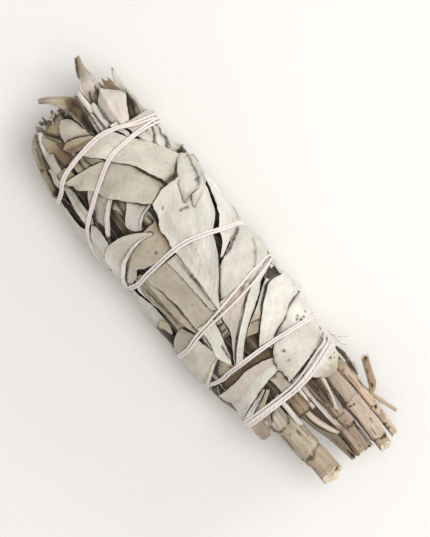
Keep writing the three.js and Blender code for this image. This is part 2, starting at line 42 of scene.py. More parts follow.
# Tables are in millimetres. A place on the bunch is [girth, along]: the girth distance is measured at
# the girth radius, from the bunch's top line towards +X, and along is measured towards the leaf tips.
bunch = {
    "middle": (1.24, -3.96),  # of the bunch from above, in the coordinates of the tables
    "girthRadius": 15.0,
    "flattening": 0.9,
    "axisHeight": 12.9,
    "outline": [
        (-42, 11.6), (-36, 12.6), (-30, 13.9), (-22, 15.0), (-8, 15.3), (3, 14.9),
        (14, 15.2), (24, 14.7), (31, 13.5), (38, 12.6), (46, 11.8), (54, 11.0),
    ],
    "gridStep": 0.15,
    "from": -64.0,
    "to": 58.0,
    "floorSoftness": 0.22,
}

leafTones = {
    "white": (222, 219, 210),
    "pale": (208, 205, 195),
    "stone": (208, 201, 188),
    "petal": (216, 205, 197),
    "pink": (204, 194, 183),
    "blush": (212, 196, 180),
    "green": (198, 191, 175),
    "dun": (188, 178, 161),
    "sand": (190, 178, 156),
    "grey": (176, 172, 160),
    "khaki": (178, 169, 141),
    "rose": (174, 156, 142),
    "olive": (150, 142, 121),
    "tan": (170, 154, 128),
    "drab": (150, 135, 113),
    "brown": (120, 101, 80),
    "umber": (86, 70, 53),
    "dark": (58, 46, 34),
}


# Helpers for numbers
def linear(colour):
    part = np.asarray(colour, float) / 255
    return np.where(part < 0.04045, part / 12.92, ((part + 0.055) / 1.055) ** 2.4)


def smoothLine(knots, step, measured):
    # Even steps along a smooth line through the knots; only the first columns count as distance.
    knots = np.asarray(knots, float)
    ends = np.vstack([2 * knots[0] - knots[1], knots, 2 * knots[-1] - knots[-2]])
    u = np.linspace(0, 1, 20, endpoint=False)[:, None]
    lengths = []
    for a, b, c, d in zip(ends, ends[1:], ends[2:], ends[3:]):
        lengths.append(b + 0.5 * u * (c - a + u * (2 * a - 5 * b + 4 * c - d + u * (3 * b - a - 3 * c + d))))
    line = np.vstack([*lengths, knots[-1:]])
    travelled = np.append(0, np.cumsum(np.linalg.norm(np.diff(line[:, :measured], axis=0), axis=1)))
    at = np.linspace(0, travelled[-1], max(3, int(round(travelled[-1] / step)) + 1))
    return np.column_stack([np.interp(at, travelled, column) for column in line.T]), at


def fade(value, start, end):
    share = np.clip((value - start) / (end - start), 0, 1)
    return share * share * (3 - 2 * share)


def hump(value, width):
    return np.exp(-((value / width) ** 2))


def ripple(rng, u, v, waves=7):
    # A smooth seeded unevenness, about -1 to 1, with wavelengths from 1 up in u and v.
    total = 0
    for _ in range(waves):
        a, b, c = rng.uniform(-1, 1, 3)
        total = total + np.sin(2 * math.pi * (a * u + b * v + c))
    return total / math.sqrt(waves)


def crumple(rng, u, v, waves=5):
    # Facets that meet in sharp ridges and soft valleys, 0 to about 1, with wavelengths from 1 up in u and v.
    total = 0
    for _ in range(waves):
        a, b, c = rng.uniform(-1, 1, 3)
        total = total + np.hypot(np.abs((a * u + b * v + c) % 1.0 - 0.5) * 2, 0.3)
    return total / waves


def finer(grid, times):
    # The same grid with points in between.
    for _ in range(2):
        rows = np.linspace(0, len(grid) - 1, (len(grid) - 1) * times + 1)
        low = np.minimum(rows.astype(int), len(grid) - 2)
        share = (rows - low)[:, None]
        grid = (grid[low] * (1 - share) + grid[low + 1] * share).T
    return grid


def seeded(seed):
    state = seed

    def draw(low, high):
        nonlocal state
        state = state * 16807 % 2147483647
        return low + (high - low) * state / 2147483647

    return draw


# The surface that the leaves build up, as a radius over girth and along
fullGirth = 2 * math.pi * bunch["girthRadius"]
girthCount = int(round(fullGirth / bunch["gridStep"]))
girthStep = fullGirth / girthCount
alongCount = int((bunch["to"] - bunch["from"]) / bunch["gridStep"]) + 1
gridGirth = np.arange(girthCount) * girthStep
gridAlong = bunch["from"] + np.arange(alongCount) * bunch["gridStep"]


def outline(along):
    table = np.array(bunch["outline"])
    return np.interp(along, table[:, 0], table[:, 1])


def sample(field, girth, along):
    u = (girth / girthStep) % girthCount
    v = np.clip((along - bunch["from"]) / bunch["gridStep"], 0, alongCount - 1.001)
    i = np.minimum(u.astype(int), girthCount - 1)
    j = v.astype(int)
    fu, fv = u - i, v - j
    k = (i + 1) % girthCount
    low = field[j, i] * (1 - fu) + field[j, k] * fu
    high = field[j + 1, i] * (1 - fu) + field[j + 1, k] * fu
    return low * (1 - fv) + high * fv


def cell(girth, along):
    # Row and column of a place in the grid.
    i = np.round(girth / girthStep).astype(int) % girthCount
    return np.clip(np.round((along - bunch["from"]) / bunch["gridStep"]).astype(int), 0, alongCount - 1), i


def press(girth, along, radius, number):
    # Raises the surface to a leaf, and notes which leaf is the upper one.
    j, i = (part.ravel() for part in cell(girth, along))
    np.maximum.at(top, (j, i), radius.ravel())
    seen = radius.ravel() >= top[j, i] - 1e-9
    upper[j[seen], i[seen]] = number


def blurred(field, width):
    along = np.fft.fftfreq(alongCount * 2, bunch["gridStep"])[:, None]
    girth = np.fft.rfftfreq(girthCount, girthStep)[None, :]
    kernel = np.exp(-2 * (math.pi * width) ** 2 * (along ** 2 + girth ** 2))
    mirrored = np.vstack([field, field[::-1]])
    return np.fft.irfft2(np.fft.rfft2(mirrored) * kernel, s=mirrored.shape)[:alongCount]


thread = {
    "winding": [  # [degrees round the bunch, along], from the knot, always turning one way
        (78, -31.0), (50, -33.7), (25, -36.0), (0, -36.7), (-40, -36.6), (-65, -36.4),
        (-120, -35.6), (-180, -34.4), (-240, -32.6),
        (-282, -31.4), (-310, -33.0), (-335, -34.9), (-360, -35.9), (-400, -35.7), (-425, -35.3),
        (-480, -33.0), (-540, -30.0), (-600, -27.6),
        (-640, -26.8), (-670, -26.1), (-695, -25.4), (-720, -24.9), (-760, -24.6), (-785, -24.5),
        (-840, -21.0), (-900, -16.0), (-960, -12.0),
        (-1000, -10.4), (-1030, -10.9), (-1055, -11.8), (-1080, -12.7), (-1120, -13.9), (-1145, -14.9),
        (-1200, -13.6), (-1260, -7.5), (-1320, -2.2),
        (-1360, -0.5), (-1390, 0.9), (-1415, 2.9), (-1440, 4.2), (-1480, 3.8), (-1505, 3.6),
        (-1560, 7.5), (-1620, 17.0), (-1680, 26.0),
        (-1720, 29.2), (-1750, 31.2), (-1775, 33.5), (-1800, 34.1), (-1840, 32.5), (-1865, 29.4),
        (-1920, 27.6), (-1980, 27.6), (-2040, 28.6),
        (-2080, 28.9), (-2110, 29.5), (-2135, 29.5), (-2160, 28.6), (-2200, 23.4), (-2225, 19.3),
        (-2250, 12.0), (-2290, 0.0), (-2340, -14.0), (-2400, -27.0), (-2442, -31.0),
    ],
    "spread": [  # [degrees, distance between the two strands]
        (-2442, 0.54), (-1560, 0.54), (-1480, 0.66), (-1400, 0.6), (-1160, 0.6), (-1110, 0.75), (-1070, 1.6),
        (-1040, 1.9), (-1005, 0.9), (-980, 0.56), (-440, 0.56), (-410, 0.66), (-340, 0.75),
        (-300, 0.56), (78, 0.6),
    ],
    "strandRadius": 0.3,
    "sink": 0.1,  # into the leaves
    "pull": 0.85,  # how deep the thread draws the leaves in, over a wide and a narrow band
    "pullWidth": 3.4,
    "flankPull": 0.2,
    "nick": 0.45,
    "nickWidth": 1.1,
    "step": 0.34,
    "sides": 10,
    "twist": 2.6,  # length of one turn of the two plies
    "plyDepth": 0.13,
    "bite": 0.22,  # how far it presses into a high point
    "tautRounds": 3000,
    "biteRounds": 60,
    "separate": 40,  # steps along the thread between places that can cross
    "colour": (240, 233, 229),
    "tails": [
        [(14.35, -31.0, 0.9), (14.7, -32.4, 1.6), (15.5, -33.6, 1.5), (16.6, -34.4, 1.4), (17.3, -35.2, 0.9)],
        [(14.5, -31.2, 0.8), (14.6, -33.0, 0.9), (14.9, -35.0, 0.9), (15.9, -36.4, 0.6)],
    ],
    "tailDrop": 0.9,
    "knot": (78, -31.0),
    "knotRise": 0.35,
}

windingKnots = [(math.radians(way) * bunch["girthRadius"], along) for way, along in thread["winding"]]
windingLine = smoothLine(windingKnots, thread["step"], 2)[0]


def pullOf():
    # How far the thread draws the leaves in, everywhere.
    order = np.argsort(windingLine[:, 0])
    girths, alongs = windingLine[order, 0], windingLine[order, 1]
    nearest = np.full((alongCount, girthCount), 99.0)
    for turn in range(-9, 3):
        at = gridGirth + turn * fullGirth
        inside = (at >= girths[0]) & (at <= girths[-1])
        crossing = np.where(inside, np.interp(at, girths, alongs), 999.0)
        nearest = np.minimum(nearest, np.abs(gridAlong[:, None] - crossing[None, :]))
    wide = thread["pull"] * hump(nearest, thread["pullWidth"])
    flat = np.cos(gridGirth / bunch["girthRadius"])[None, :] ** 2
    wide = wide * (thread["flankPull"] + (1 - thread["flankPull"]) * flat)
    return wide + thread["nick"] * hump(nearest, thread["nickWidth"])


pull = pullOf()


def placed(girth, along, radius):
    # Where a place on the bunch is, in the coordinates of the tables.
    angle = girth / bunch["girthRadius"]
    reach = radius - sample(pull, girth, along)
    height = bunch["axisHeight"] + bunch["flattening"] * reach * np.cos(angle)
    soft = bunch["floorSoftness"]
    height = np.where(height > 6, height, soft * np.log1p(np.exp(np.minimum(height, 6) / soft)))
    return np.stack([reach * np.sin(angle), along, height], axis=-1)


leafWays = {  # what all leaves share
    "tone": "pale",  # where a leaf names no other
    "step": 0.5,
    "fineStep": 0.32,
    "thickness": 0.34,
    "rim": 0.12,  # thickness at the edge
    "rimWidth": 0.9,
    "clearance": 0.1,
    "layerStep": 0.7,
    "topLayer": 4.6,
    "flank": (0.55, 0.95),  # from here on a leaf is on the bunch's flank, as a share of its half width
    "narrowest": 0.16,
    "edgeLift": 0.3,
    "rib": 0.14,
    "ribWidth": 0.5,
    "wave": 0.12,
    "crumple": 0.5,
    "fineWave": 0.04,
    "rounds": 60,
    "lineReach": 0.32,  # width of the painted shadow line under a margin
    "serration": 0.05,
    "veinStep": 1.9,
    "veinHeight": 0.05,
    "grooveDepth": 0.12,
    "crackDepth": 0.3,
    "darkLineWidth": 0.32,  # narrower cracks and shadow lines are painted fainter
    "creaseWidth": 0.9,
    "endReach": 4.0,  # how far the shape of an end reaches into the leaf
    "lastTie": 37.5,  # past it the ends of the leaves stand free
    "open": (36.5, 41.5),  # from here to here on, the painted shade in the gaps between the leaves gets weaker
}

# Leaves on the upper side, by their two margins in [x, along], from one end of the leaf to the other.
# A leaf of a higher layer lies on the lower ones. Rolls are (width, turn in radians) of a curled margin,
# rise lifts a leaf at the bunch's flank, and wrap carries a margin on round the flank, in millimetres.
# Cracks and shadow lines are (width, point, point, ...): grooves with a dark line painted along them, real
# cracks and painted shadows along the margin of a leaf that lies over them. Creases are (height, start, end)
# and specks (x, along, size). ToneB tones one side of a fold lighter or darker, as painted light and shade,
# and end tones paint browned ends, and painted shadow bands where an end lies against another leaf.
upperLeaves = [
    # crossing leaves under the two end turns
    {"edgeA": [(-10.4, 31), (-9, 28.4), (-7.2, 25.9), (-4, 21.3), (-1.5, 18.1), (1.4, 15.1), (3, 13)],
     "edgeB": [(-10.2, 31.2), (-6.8, 30.6), (-3.4, 29.9), (0, 28.6), (4.5, 24.5), (8.5, 19), (9.5, 16)],
     "layer": 3, "tone": "green", "liftA": 0.25, "crumple": 0.5, "endTone": ("tan", 1.6)},
    # its brown end tone and the wide dark lines at its end are a painted shadow band beside the broad leaf's
    # torn edge
    {"edgeA": [(-4.4, 34), (-2.2, 31.4), (-0.3, 29.2), (1.2, 27.3), (3, 25.3), (4.8, 21.8), (6, 19),
         (6.9, 16.2)],
     "edgeB": [(3.8, 34.2), (5.4, 32.4), (7.6, 29.2), (9.8, 25.9), (11.4, 22.6), (12.7, 20), (13, 18)],
     "layer": 4, "tone": "stone", "crumple": 0.5, "specks": [(3.6, 27.6, 0.12), (9.8, 20.5, 0.12)],
     "endTone": ("brown", 2.4),
     "cracks": [(0.2, (8.2, 28.4), (9, 27.2)), (0.5, (2, 15.4), (3.4, 16.7)),
         (0.6, (3.4, 16.7), (9.2, 17), (12.8, 19.3))]},
    {"edgeA": [(7.6, 32.9), (8, 31.4), (8.4, 29.2)], "edgeB": [(11, 32.2), (12, 31), (12.6, 29.4)],
     "layer": 4, "tone": "pink"},
    {"edgeA": [(5.4, 34.6), (6.3, 32.2), (7.1, 29.8)], "edgeB": [(6.9, 34.4), (7.5, 32), (7.9, 29.9)],
     "layer": 4, "tone": "white"},
    {"edgeA": [(8.2, 31.2), (8.7, 28.2), (9.2, 26.4), (10.2, 24.8)],
     "edgeB": [(12, 31.4), (11.8, 28.6), (11.3, 26.7), (10.4, 24.9)],
     "layer": 3.2, "rise": 0.4, "liftB": 0.25,
     "cracks": [(0.32, (11.5, 30), (11.5, 28.6), (11, 26.7), (10.2, 25.2))]},
    {"edgeA": [(9.6, 31), (9.8, 27), (10.6, 24), (11.8, 22.2)],
     "edgeB": [(13.3, 31), (13.2, 28), (12.7, 24.8), (11.8, 22.4)],
     "layer": 2.6, "tone": "white", "rise": 0.4, "liftB": 0.25,
     "cracks": [(0.32, (13.1, 30), (13.1, 28), (12.6, 25)), (0.4, (12.6, 25), (11.7, 22.8))]},
    {"edgeA": [(10.8, 31), (10.8, 26), (11.4, 22.8), (12.4, 21.4)],
     "edgeB": [(14, 30.5), (14.6, 26), (14.9, 22.5), (14.8, 21.2)],
     "layer": 2, "rise": 0.6, "ragged": 0.3, "endTone": ("tan", 1), "wrapB": 2,
     "cracks": [(0.32, (13.4, 28.4), (13, 24.9), (12, 22.2))]},
    # left side, towards the tips
    {"edgeA": [(-3, 27.5), (-7, 26.6), (-9.4, 23.8), (-10.6, 21), (-11.4, 17), (-12, 14.8)],
     "edgeB": [(-2, 23), (-3.9, 21), (-6, 18.9), (-8, 16.6), (-9.7, 14.9), (-10.6, 13.9)],
     "layer": 2, "tone": "pink", "rollB": (1.7, 3.4), "rise": 0.8,
     "specks": [(-7.6, 20.6, 0.12), (-8.6, 19.4, 0.1)]},
    {"edgeA": [(-11.1, 35.6), (-11.4, 32), (-11.7, 28), (-12.3, 24.5), (-12.9, 20.2)],
     "edgeB": [(-9.7, 35.4), (-9.8, 32), (-9.8, 28), (-10.4, 24), (-11.3, 20)],
     "layer": 3, "tone": "stone", "rise": 1.2, "grooves": 2,
     "cracks": [(0.4, (-9.95, 31.8), (-9.8, 28.4), (-10.1, 25.6)), (0.12, (-10.9, 30), (-11.2, 26)),
         (0.12, (-11.6, 26), (-11.9, 22))]},
    {"edgeA": [(-13.9, 31), (-14, 26), (-14.2, 21)], "edgeB": [(-11.4, 31), (-12, 26), (-12.8, 21)],
     "layer": 1.6, "tone": "brown", "rise": 0.9, "grooves": 2},
    {"edgeA": [(-14.9, 31), (-15.2, 24), (-15.4, 18), (-15.4, 10)],
     "edgeB": [(-13.3, 30.5), (-13.5, 26), (-13.7, 21.6), (-13.2, 18), (-13.2, 13), (-13.6, 10)],
     "layer": 2, "rise": 2.3, "wrapA": -4, "crumple": 0.5,
     "cracks": [(0.35, (-13.3, 20), (-13.3, 13.6)), (0.4, (-13.5, 12.9), (-14.4, 9))]},
    {"edgeA": [(-13.2, 13), (-13.2, 17), (-12.6, 19), (-12, 19.9)],
     "edgeB": [(-11.2, 13.4), (-10.7, 16.4), (-10.8, 18.6), (-11.8, 19.9)],
     "layer": 3, "rise": 1.2, "liftB": 0.2},
    {"edgeA": [(-6.9, 33.8), (-6.8, 32.3), (-6.6, 30)], "edgeB": [(-3.8, 34.4), (-2, 31.6), (-0.4, 29)],
     "layer": 2.2, "tone": "sand",
     "cracks": [(0.32, (-4.2, 32.2), (-3.4, 29.8)), (0.32, (-5.6, 33), (-5.2, 30.4))], "grooves": 2},
    {"edgeA": [(-9.2, 32.8), (-8.9, 31.4), (-8.8, 30)], "edgeB": [(-7.1, 33.6), (-7.1, 32), (-7, 30)],
     "layer": 1.6, "tone": "tan"},
    {"edgeA": [(-9.6, 29), (-9.5, 27), (-9.4, 25.6)], "edgeB": [(-8.6, 29), (-7.8, 27.4), (-7.2, 26)],
     "layer": 1.2, "tone": "olive"},
    {"edgeA": [(-5.8, 22), (-5.4, 19.5), (-5, 17)], "edgeB": [(-3.2, 22), (-2.2, 19.4), (-2.4, 16)],
     "layer": 0.6, "tone": "sand", "endTone": ("dark", 2.5),
     "cracks": [(0.32, (-4.2, 20.6), (-4.6, 17.2))]},
    {"edgeA": [(-0.5, 21), (-2.2, 19), (-4.4, 17), (-5.7, 15.2), (-5.4, 13.6), (-4.5, 12.3)],
     "edgeB": [(3.8, 16.4), (1.7, 14.9), (-0.6, 14.3), (-2.4, 13.3), (-3.8, 12.1)],
     "layer": 2, "rollB": (1.2, 3.2)},
    {"edgeA": [(-2.6, 15), (-2.3, 12.5), (-2.4, 9.5)], "edgeB": [(0.1, 15), (0, 12.5), (-0.7, 9.5)],
     "layer": 1, "tone": "sand", "startTone": ("brown", 1.5),
     "cracks": [(0.4, (-2.3, 13.2), (-2.4, 10.4)), (0.4, (-0.8, 13.6), (-0.5, 9.6))], "ridge": (0, 0.3)},
    # folded fan leaf and what shows under it
    {"edgeA": [(-2.5, 10.3), (-4, 11.5), (-6.4, 13), (-9.4, 13.9), (-11.8, 13.9), (-13.4, 12.4),
         (-14.2, 9), (-14.9, 5)],
     "edgeB": [(-2.6, 9.8), (-5, 9.9), (-7.5, 9.4), (-10, 8.3), (-12, 6.7), (-13.3, 5.6), (-14.1, 4.6),
         (-14.7, 4)],
     "layer": 4, "tones": [(0, "stone"), (0.4, "stone"), (0.7, "white"), (1, "white")],
     "rollB": (1.3, 3.2), "rise": 0.8, "crumple": 0.6},
    {"edgeA": [(-14, 5.2), (-11, 8.3), (-8, 9.9), (-4, 11.4), (-0.4, 11.8)],
     "edgeB": [(-13.4, 4.3), (-11.4, 4.8), (-10.1, 6), (-8.5, 5), (-6.4, 4.5), (-4, 4.3), (-0.7, 4.4)],
     "layer": 2.6, "tones": [(0, "pale"), (0.4, "dun"), (1, "dun")],
     "specks": [(-4.7, 6.2, 0.3), (-6.4, 7.4, 0.12), (-3, 8.4, 0.12)], "ragged": 0.2, "rise": 1.4,
     "endTone": ("tan", 2.2)},
    # broad pale leaf and the flaps over its shoulder
    {"edgeA": [(1.5, 15), (0.7, 12.5), (-0.2, 10), (-0.8, 7.2), (-1.2, 4), (-1.1, 0), (-1.2, -5),
         (-1.5, -9), (-1.9, -12.8)],
     "edgeB": [(12.9, 19.2), (13.6, 16), (13.1, 12.4), (11.9, 7.6), (10.7, 4.9), (8, 1.4), (5.9, -1.9),
         (3.5, -5.6), (0.2, -9.7), (-1.4, -12.6)],
     "layer": 4, "startShape": [0, -0.3, 0.8, 1.7, 0.3], "crumple": 0.8,
     "specks": [(2.7, 13, 0.22), (7.1, 4.4, 0.08), (2.4, 0, 0.1)],
     "creases": [(0.32, (3.4, 13), (1.6, 3.5)), (0.3, (6.6, 12), (3.2, 5.4)),
         (0.3, (1.2, 2.5), (0.4, -2.5)), (0.25, (-0.8, -4.4), (3.4, -1.2)), (0.26, (9.8, 8.5), (6, 3.8)),
         (0.2, (-0.6, -8), (2.4, -4.6)), (-0.2, (0.6, 10), (-0.2, 4)), (-0.22, (4.6, 8.6), (2.4, 2.4)),
         (-0.2, (8.2, 8.6), (4.6, 2.2)), (0.22, (-0.8, -1.4), (4.4, 1.6)),
         (0.2, (-0.9, -6.4), (2.6, -3.2))], "cracks": [(0.32, (5.4, 10.2), (7.2, 9.7))]},
    {"edgeA": [(8.3, 9.1), (10, 12), (12, 15), (13.6, 19)],
     "edgeB": [(8.6, 9), (11, 10), (13.3, 11.8), (14.4, 14.4), (15, 18.4)],
     "layer": 4.4, "liftA": -0.5, "liftB": 0.35, "rise": 0.2,
     "cracks": [(0.3, (15.1, 18.6), (14.8, 16), (14.3, 13.6)), (0.35, (14.3, 13.6), (13.7, 12))]},
    # its tan start tone is painted shade in the pocket under its curled end
    {"edgeA": [(7.3, 11.3), (8.4, 13.6), (9.6, 15.8), (11.2, 18.2), (13.4, 20.4)],
     "edgeB": [(7.5, 11), (9.5, 11.7), (11.8, 11.8), (12.8, 13.2), (13.5, 15.4), (14, 19.4)],
     "layer": 5, "liftA": -1, "liftB": 0.4, "startTone": ("tan", 2.6),
     "cracks": [(0.28, (13.85, 18.9), (13.3, 15.5), (12.6, 13.4), (11.7, 12))]},
    {"edgeA": [(14.7, 15), (13.8, 12), (13.3, 10), (12.6, 8), (12, 6), (11.4, 4.6), (10.3, 2.6),
         (9.4, 0.7), (8.3, -1.2), (5.8, -3.4)],
     "edgeB": [(15.3, 13), (15.2, 8), (14.6, 4), (13.7, 1.1), (12.5, -0.2), (10.1, -1.4), (8.1, -2.5),
         (5.9, -3.7)],
     "layer": 3.6, "tone": "white", "rise": 0.7, "cracks": [(0.32, (14.7, 3.8), (13.5, 0.4))],
     "wrapB": 0.3},
    {"edgeA": [(15, 3), (12.5, -0.2), (9, -2.5), (6, -3.9), (3.5, -5.4), (1.3, -7.9), (-1, -11),
         (-2.2, -14)],
     "edgeB": [(15.2, -6), (14, -9.6), (11, -11.4), (8, -12.6), (5, -14.2), (2.5, -16), (0, -18),
         (-1, -19)],
     "layer": 3, "rise": 1.2,
     "cracks": [(0.45, (13.1, -0.75), (10.6, -2.1), (8.5, -3.15), (6.8, -3.6)),
         (0.45, (5.3, -3.75), (3.75, -5.6)), (0.4, (3.75, -5.6), (0.5, -9.7)),
         (0.35, (0.5, -9.7), (-1.4, -12.6)), (0.18, (14.1, -4.6), (12.7, -7.4), (10.8, -9.8))],
     "creases": [(0.35, (13, -2.4), (5, -8.6)), (0.25, (9.5, -5.5), (2, -12)),
         (0.2, (7, -3.6), (3.6, -7.4))]},
    {"edgeA": [(15.2, -5), (14.6, -8), (12.6, -10.8)], "edgeB": [(15.3, -9), (14.8, -12), (13, -12.4)],
     "layer": 2, "rise": 1.6, "wrapA": 2},
    # left flank
    {"edgeA": [(-15.3, 7), (-15.5, 3), (-15.5, -2), (-15.3, -6.6)],
     "edgeB": [(-13.7, 7), (-13.4, 3), (-12.8, 0), (-12.2, -3), (-12, -6.6)],
     "layer": 2, "ragged": 0.15, "rise": 1.6, "wrapA": -4, "crumple": 0.5},
    {"edgeA": [(-13.8, -7.4), (-13.2, -6.5), (-12.2, -6)],
     "edgeB": [(-13.4, -9), (-12.8, -9.8), (-12.1, -8.2)],
     "layer": 2.4, "tone": "sand", "step": 0.25, "rollA": (0.5, 2.6), "rise": 0.8},
    {"edgeA": [(-13.3, 4), (-12.7, 0), (-12.2, -2.6)], "edgeB": [(-11.7, 4), (-11.7, 0), (-12, -2.6)],
     "layer": 2, "tone": "white", "step": 0.25, "rise": 2},
    {"edgeA": [(-11.7, 4.8), (-11.6, 1), (-11.5, -4), (-11.3, -10.3)],
     "edgeB": [(-10, 4.8), (-9.9, 1), (-9.8, -4), (-9.3, -10.3)],
     "layer": 2, "tone": "olive", "rise": 1.2, "grooves": 2, "cracks": [(0.32, (-10.8, 1), (-10.7, -9))]},
    {"edgeA": [(-10.2, 3.6), (-10.1, 0), (-10.1, -5), (-9.8, -9), (-9.2, -13.8), (-8.6, -18.6)],
     "edgeB": [(-9.2, 3.6), (-8.3, -1), (-7.7, -6), (-7.8, -10), (-8.1, -14), (-8.1, -18.6)],
     "layer": 2.4, "tone": "sand", "rise": 1.2, "grooves": 1,
     "cracks": [(0.32, (-9.1, 1), (-8.5, -2.4)), (0.5, (-8.5, -2.4), (-8.1, -6), (-8.1, -9.8)),
         (0.4, (-8.1, -9.8), (-8.6, -13.2))]},
    {"edgeA": [(-9.5, 3.3), (-9.1, 1), (-8.5, -1.4), (-8, -4), (-7.75, -7), (-7.9, -10), (-8.2, -13.2)],
     "edgeB": [(-2.9, 3.3), (-2.8, 0.5), (-2, -3), (-1.7, -7), (-1.9, -12), (-2.8, -15)],
     "layer": 3, "tone": "dun", "crumple": 0.7, "liftA": 0.2, "creases": [(0.2, (-5, 2), (-4.6, -10))],
     "specks": [(-5.4, 2.3, 0.2), (-4.1, 3, 0.2), (-5.6, -7.6, 0.12)]},
    {"edgeA": [(-4.3, 3.2), (-3.8, 1.2), (-3.4, -1.5), (-3.2, -6), (-3.1, -11.5)],
     "edgeB": [(-0.9, 3.2), (-0.7, 0), (-0.8, -4), (-1, -8), (-1.5, -12)],
     "layer": 3.8, "tone": "stone", "cracks": [(0.14, (-2, 2.8), (-1.8, -2.6), (-2, -9))]},
    {"edgeA": [(-14.9, -14.8), (-14.2, -12.8), (-12.8, -11.4), (-10.9, -10.4), (-9.5, -10.3)],
     "edgeB": [(-14.8, -17), (-12, -16.4), (-10.2, -16), (-9.2, -14.4)],
     "layer": 2, "tone": "grey", "endTone": ("tan", 1.5), "rise": 1.6, "wrapA": -1},
    # between the third and the fourth turn from the stems
    {"edgeA": [(-15.1, -14.6), (-12, -14.8), (-9.8, -14.5), (-9.1, -16), (-8.3, -18.8)],
     "edgeB": [(-14.8, -25.4), (-12.8, -23.8), (-11, -22.3), (-9.4, -21.2), (-8.1, -20.6)],
     "layer": 3, "tone": "stone", "rollB": (1.2, 3.2), "rise": 1.4},
    {"edgeA": [(-15.2, -13.6), (-15.3, -19), (-15, -25)],
     "edgeB": [(-14, -13.6), (-14.1, -19), (-13.8, -25)],
     "layer": 1.4, "tone": "pink", "rise": 2.1, "wrapA": -4},
    {"edgeA": [(-11.5, -22), (-9.5, -21), (-7.6, -21)], "edgeB": [(-11.5, -25), (-9.5, -25), (-7, -24.8)],
     "layer": 1.8, "tone": "sand", "startTone": ("dark", 1.8),
     "specks": [(-8.2, -23.9, 0.3), (-9.3, -22.4, 0.2), (-8.6, -23.2, 0.15), (-7.6, -22.3, 0.15)]},
    {"edgeA": [(-7.9, -12.6), (-7.8, -17), (-8.2, -20.3), (-7.6, -23.2)],
     "edgeB": [(-4.1, -13), (-4.5, -16), (-5.5, -19.6), (-6.2, -21.6), (-7.2, -23.4)],
     "layer": 3, "tone": "white", "cracks": [(0.32, (-6.2, -19), (-6.6, -22))]},
    {"edgeA": [(-3.9, -13.2), (-4.2, -15.5), (-4.7, -17.8)],
     "edgeB": [(-2.5, -13.2), (-2.75, -15.5), (-3.2, -17.8)],
     "layer": 2.2, "tone": "sand", "step": 0.2,
     "cracks": [(0.32, (-4.2, -16.6), (-2.8, -16.4)), (0.32, (-4.1, -15.1), (-2.7, -14.9)),
         (0.32, (-4.6, -17.6), (-3, -17.4))]},
    {"edgeA": [(-1.5, -11), (-2.3, -14), (-2.7, -17.5), (-4.4, -20.5), (-7.1, -24.2)],
     "edgeB": [(8, -11.4), (5.5, -13.8), (0.6, -17.7), (-2.6, -20.6), (-6.7, -24.4)],
     "layer": 3.2, "tone": "pink", "crumple": 0.6, "liftB": -0.2,
     "cracks": [(0.32, (6.4, -12.9), (1.6, -16.3), (-2.6, -19.6), (-6.4, -23.6))]},
    {"edgeA": [(13.5, -10.4), (9.4, -11.9), (5.5, -13.8), (0.2, -17.9), (-3, -20.6), (-7, -24.6)],
     "edgeB": [(14, -11), (12, -12), (9.6, -13), (7.6, -14.7), (5, -16.4), (0, -19.7), (-5.4, -24.8)],
     "layer": 4, "tone": "white", "grooves": 2, "crumple": 0.4},
    {"edgeA": [(10.9, -13.3), (8.6, -14.6), (6.2, -16.3), (3.6, -17.8), (1.8, -18.7)],
     "edgeB": [(11, -14.2), (9, -15.8), (7, -17.4), (5, -18.6), (4, -19.4)],
     "layer": 2.4, "tone": "white", "endTone": ("sand", 4.5), "liftA": -0.2},
    {"edgeA": [(2.2, -18.7), (0.4, -19.7), (-1, -20.6)],
     "edgeB": [(4.4, -19.4), (2.9, -20.7), (1.7, -21.5)],
     "layer": 2, "tone": "sand"},
    {"edgeA": [(14.9, -11.4), (13, -11.8), (10.5, -13)], "edgeB": [(15, -14.6), (13, -14.6), (11, -14.4)],
     "layer": 1.2, "tone": "umber", "rise": 1,
     "cracks": [(0.5, (14.7, -11.6), (14.7, -14.4)), (0.5, (12.6, -12.2), (11.2, -13.6))]},
    {"edgeA": [(13.6, -11.5), (13.7, -13), (13.7, -14.6)],
     "edgeB": [(14.2, -11.6), (14.3, -13), (14.2, -14.5)],
     "layer": 2.4, "tone": "white", "step": 0.25, "rise": 1},
    {"edgeA": [(14.9, -14.8), (13.6, -14.9), (11.2, -14.4), (9, -15.4), (7, -17), (3, -21), (0.2, -24.2)],
     "edgeB": [(15.2, -19.4), (13, -20.2), (10.5, -21), (8.5, -22.4), (5, -23.8), (3.6, -24.6)],
     "layer": 3.4, "tone": "white", "liftB": 0.35, "crumple": 0.7, "rise": 0.8},
    {"edgeA": [(15.5, -18), (12, -19), (8, -21), (3, -24)],
     "edgeB": [(15.2, -27.4), (11, -27), (6, -26.4), (1.5, -26)],
     "layer": 2, "tone": "white", "crumple": 0.6, "rise": 2, "wrapB": 0.5,
     "specks": [(10.8, -24.8, 0.32), (11.2, -24.2, 0.28), (12.3, -25.2, 0.3), (11.5, -25.4, 0.28),
         (13.2, -24.6, 0.16), (10.1, -23.6, 0.14)],
     "cracks": [(0.45, (4.8, -24.2), (8.5, -22.8), (10.5, -21.4), (13, -20.6), (15.5, -20))]},
    # between the stem-end turns
    {"edgeA": [(-14.3, -25.2), (-14.2, -27), (-13.6, -29)],
     "edgeB": [(-12.5, -25.2), (-12.8, -26.8), (-13.4, -28.9)],
     "layer": 2.6, "tone": "umber", "step": 0.25, "rollB": (0.5, 2.6), "rise": 0.6},
    {"edgeA": [(-11.8, -25), (-6, -25.1), (0, -24.8), (2.6, -25.1)],
     "edgeB": [(-11.8, -27.8), (-6, -27.6), (0, -28.2), (2.6, -27.4)],
     "layer": 1.3, "tone": "brown", "grooves": 2},
    # grey-pink above its fold and white below: painted shade and light on the two sides
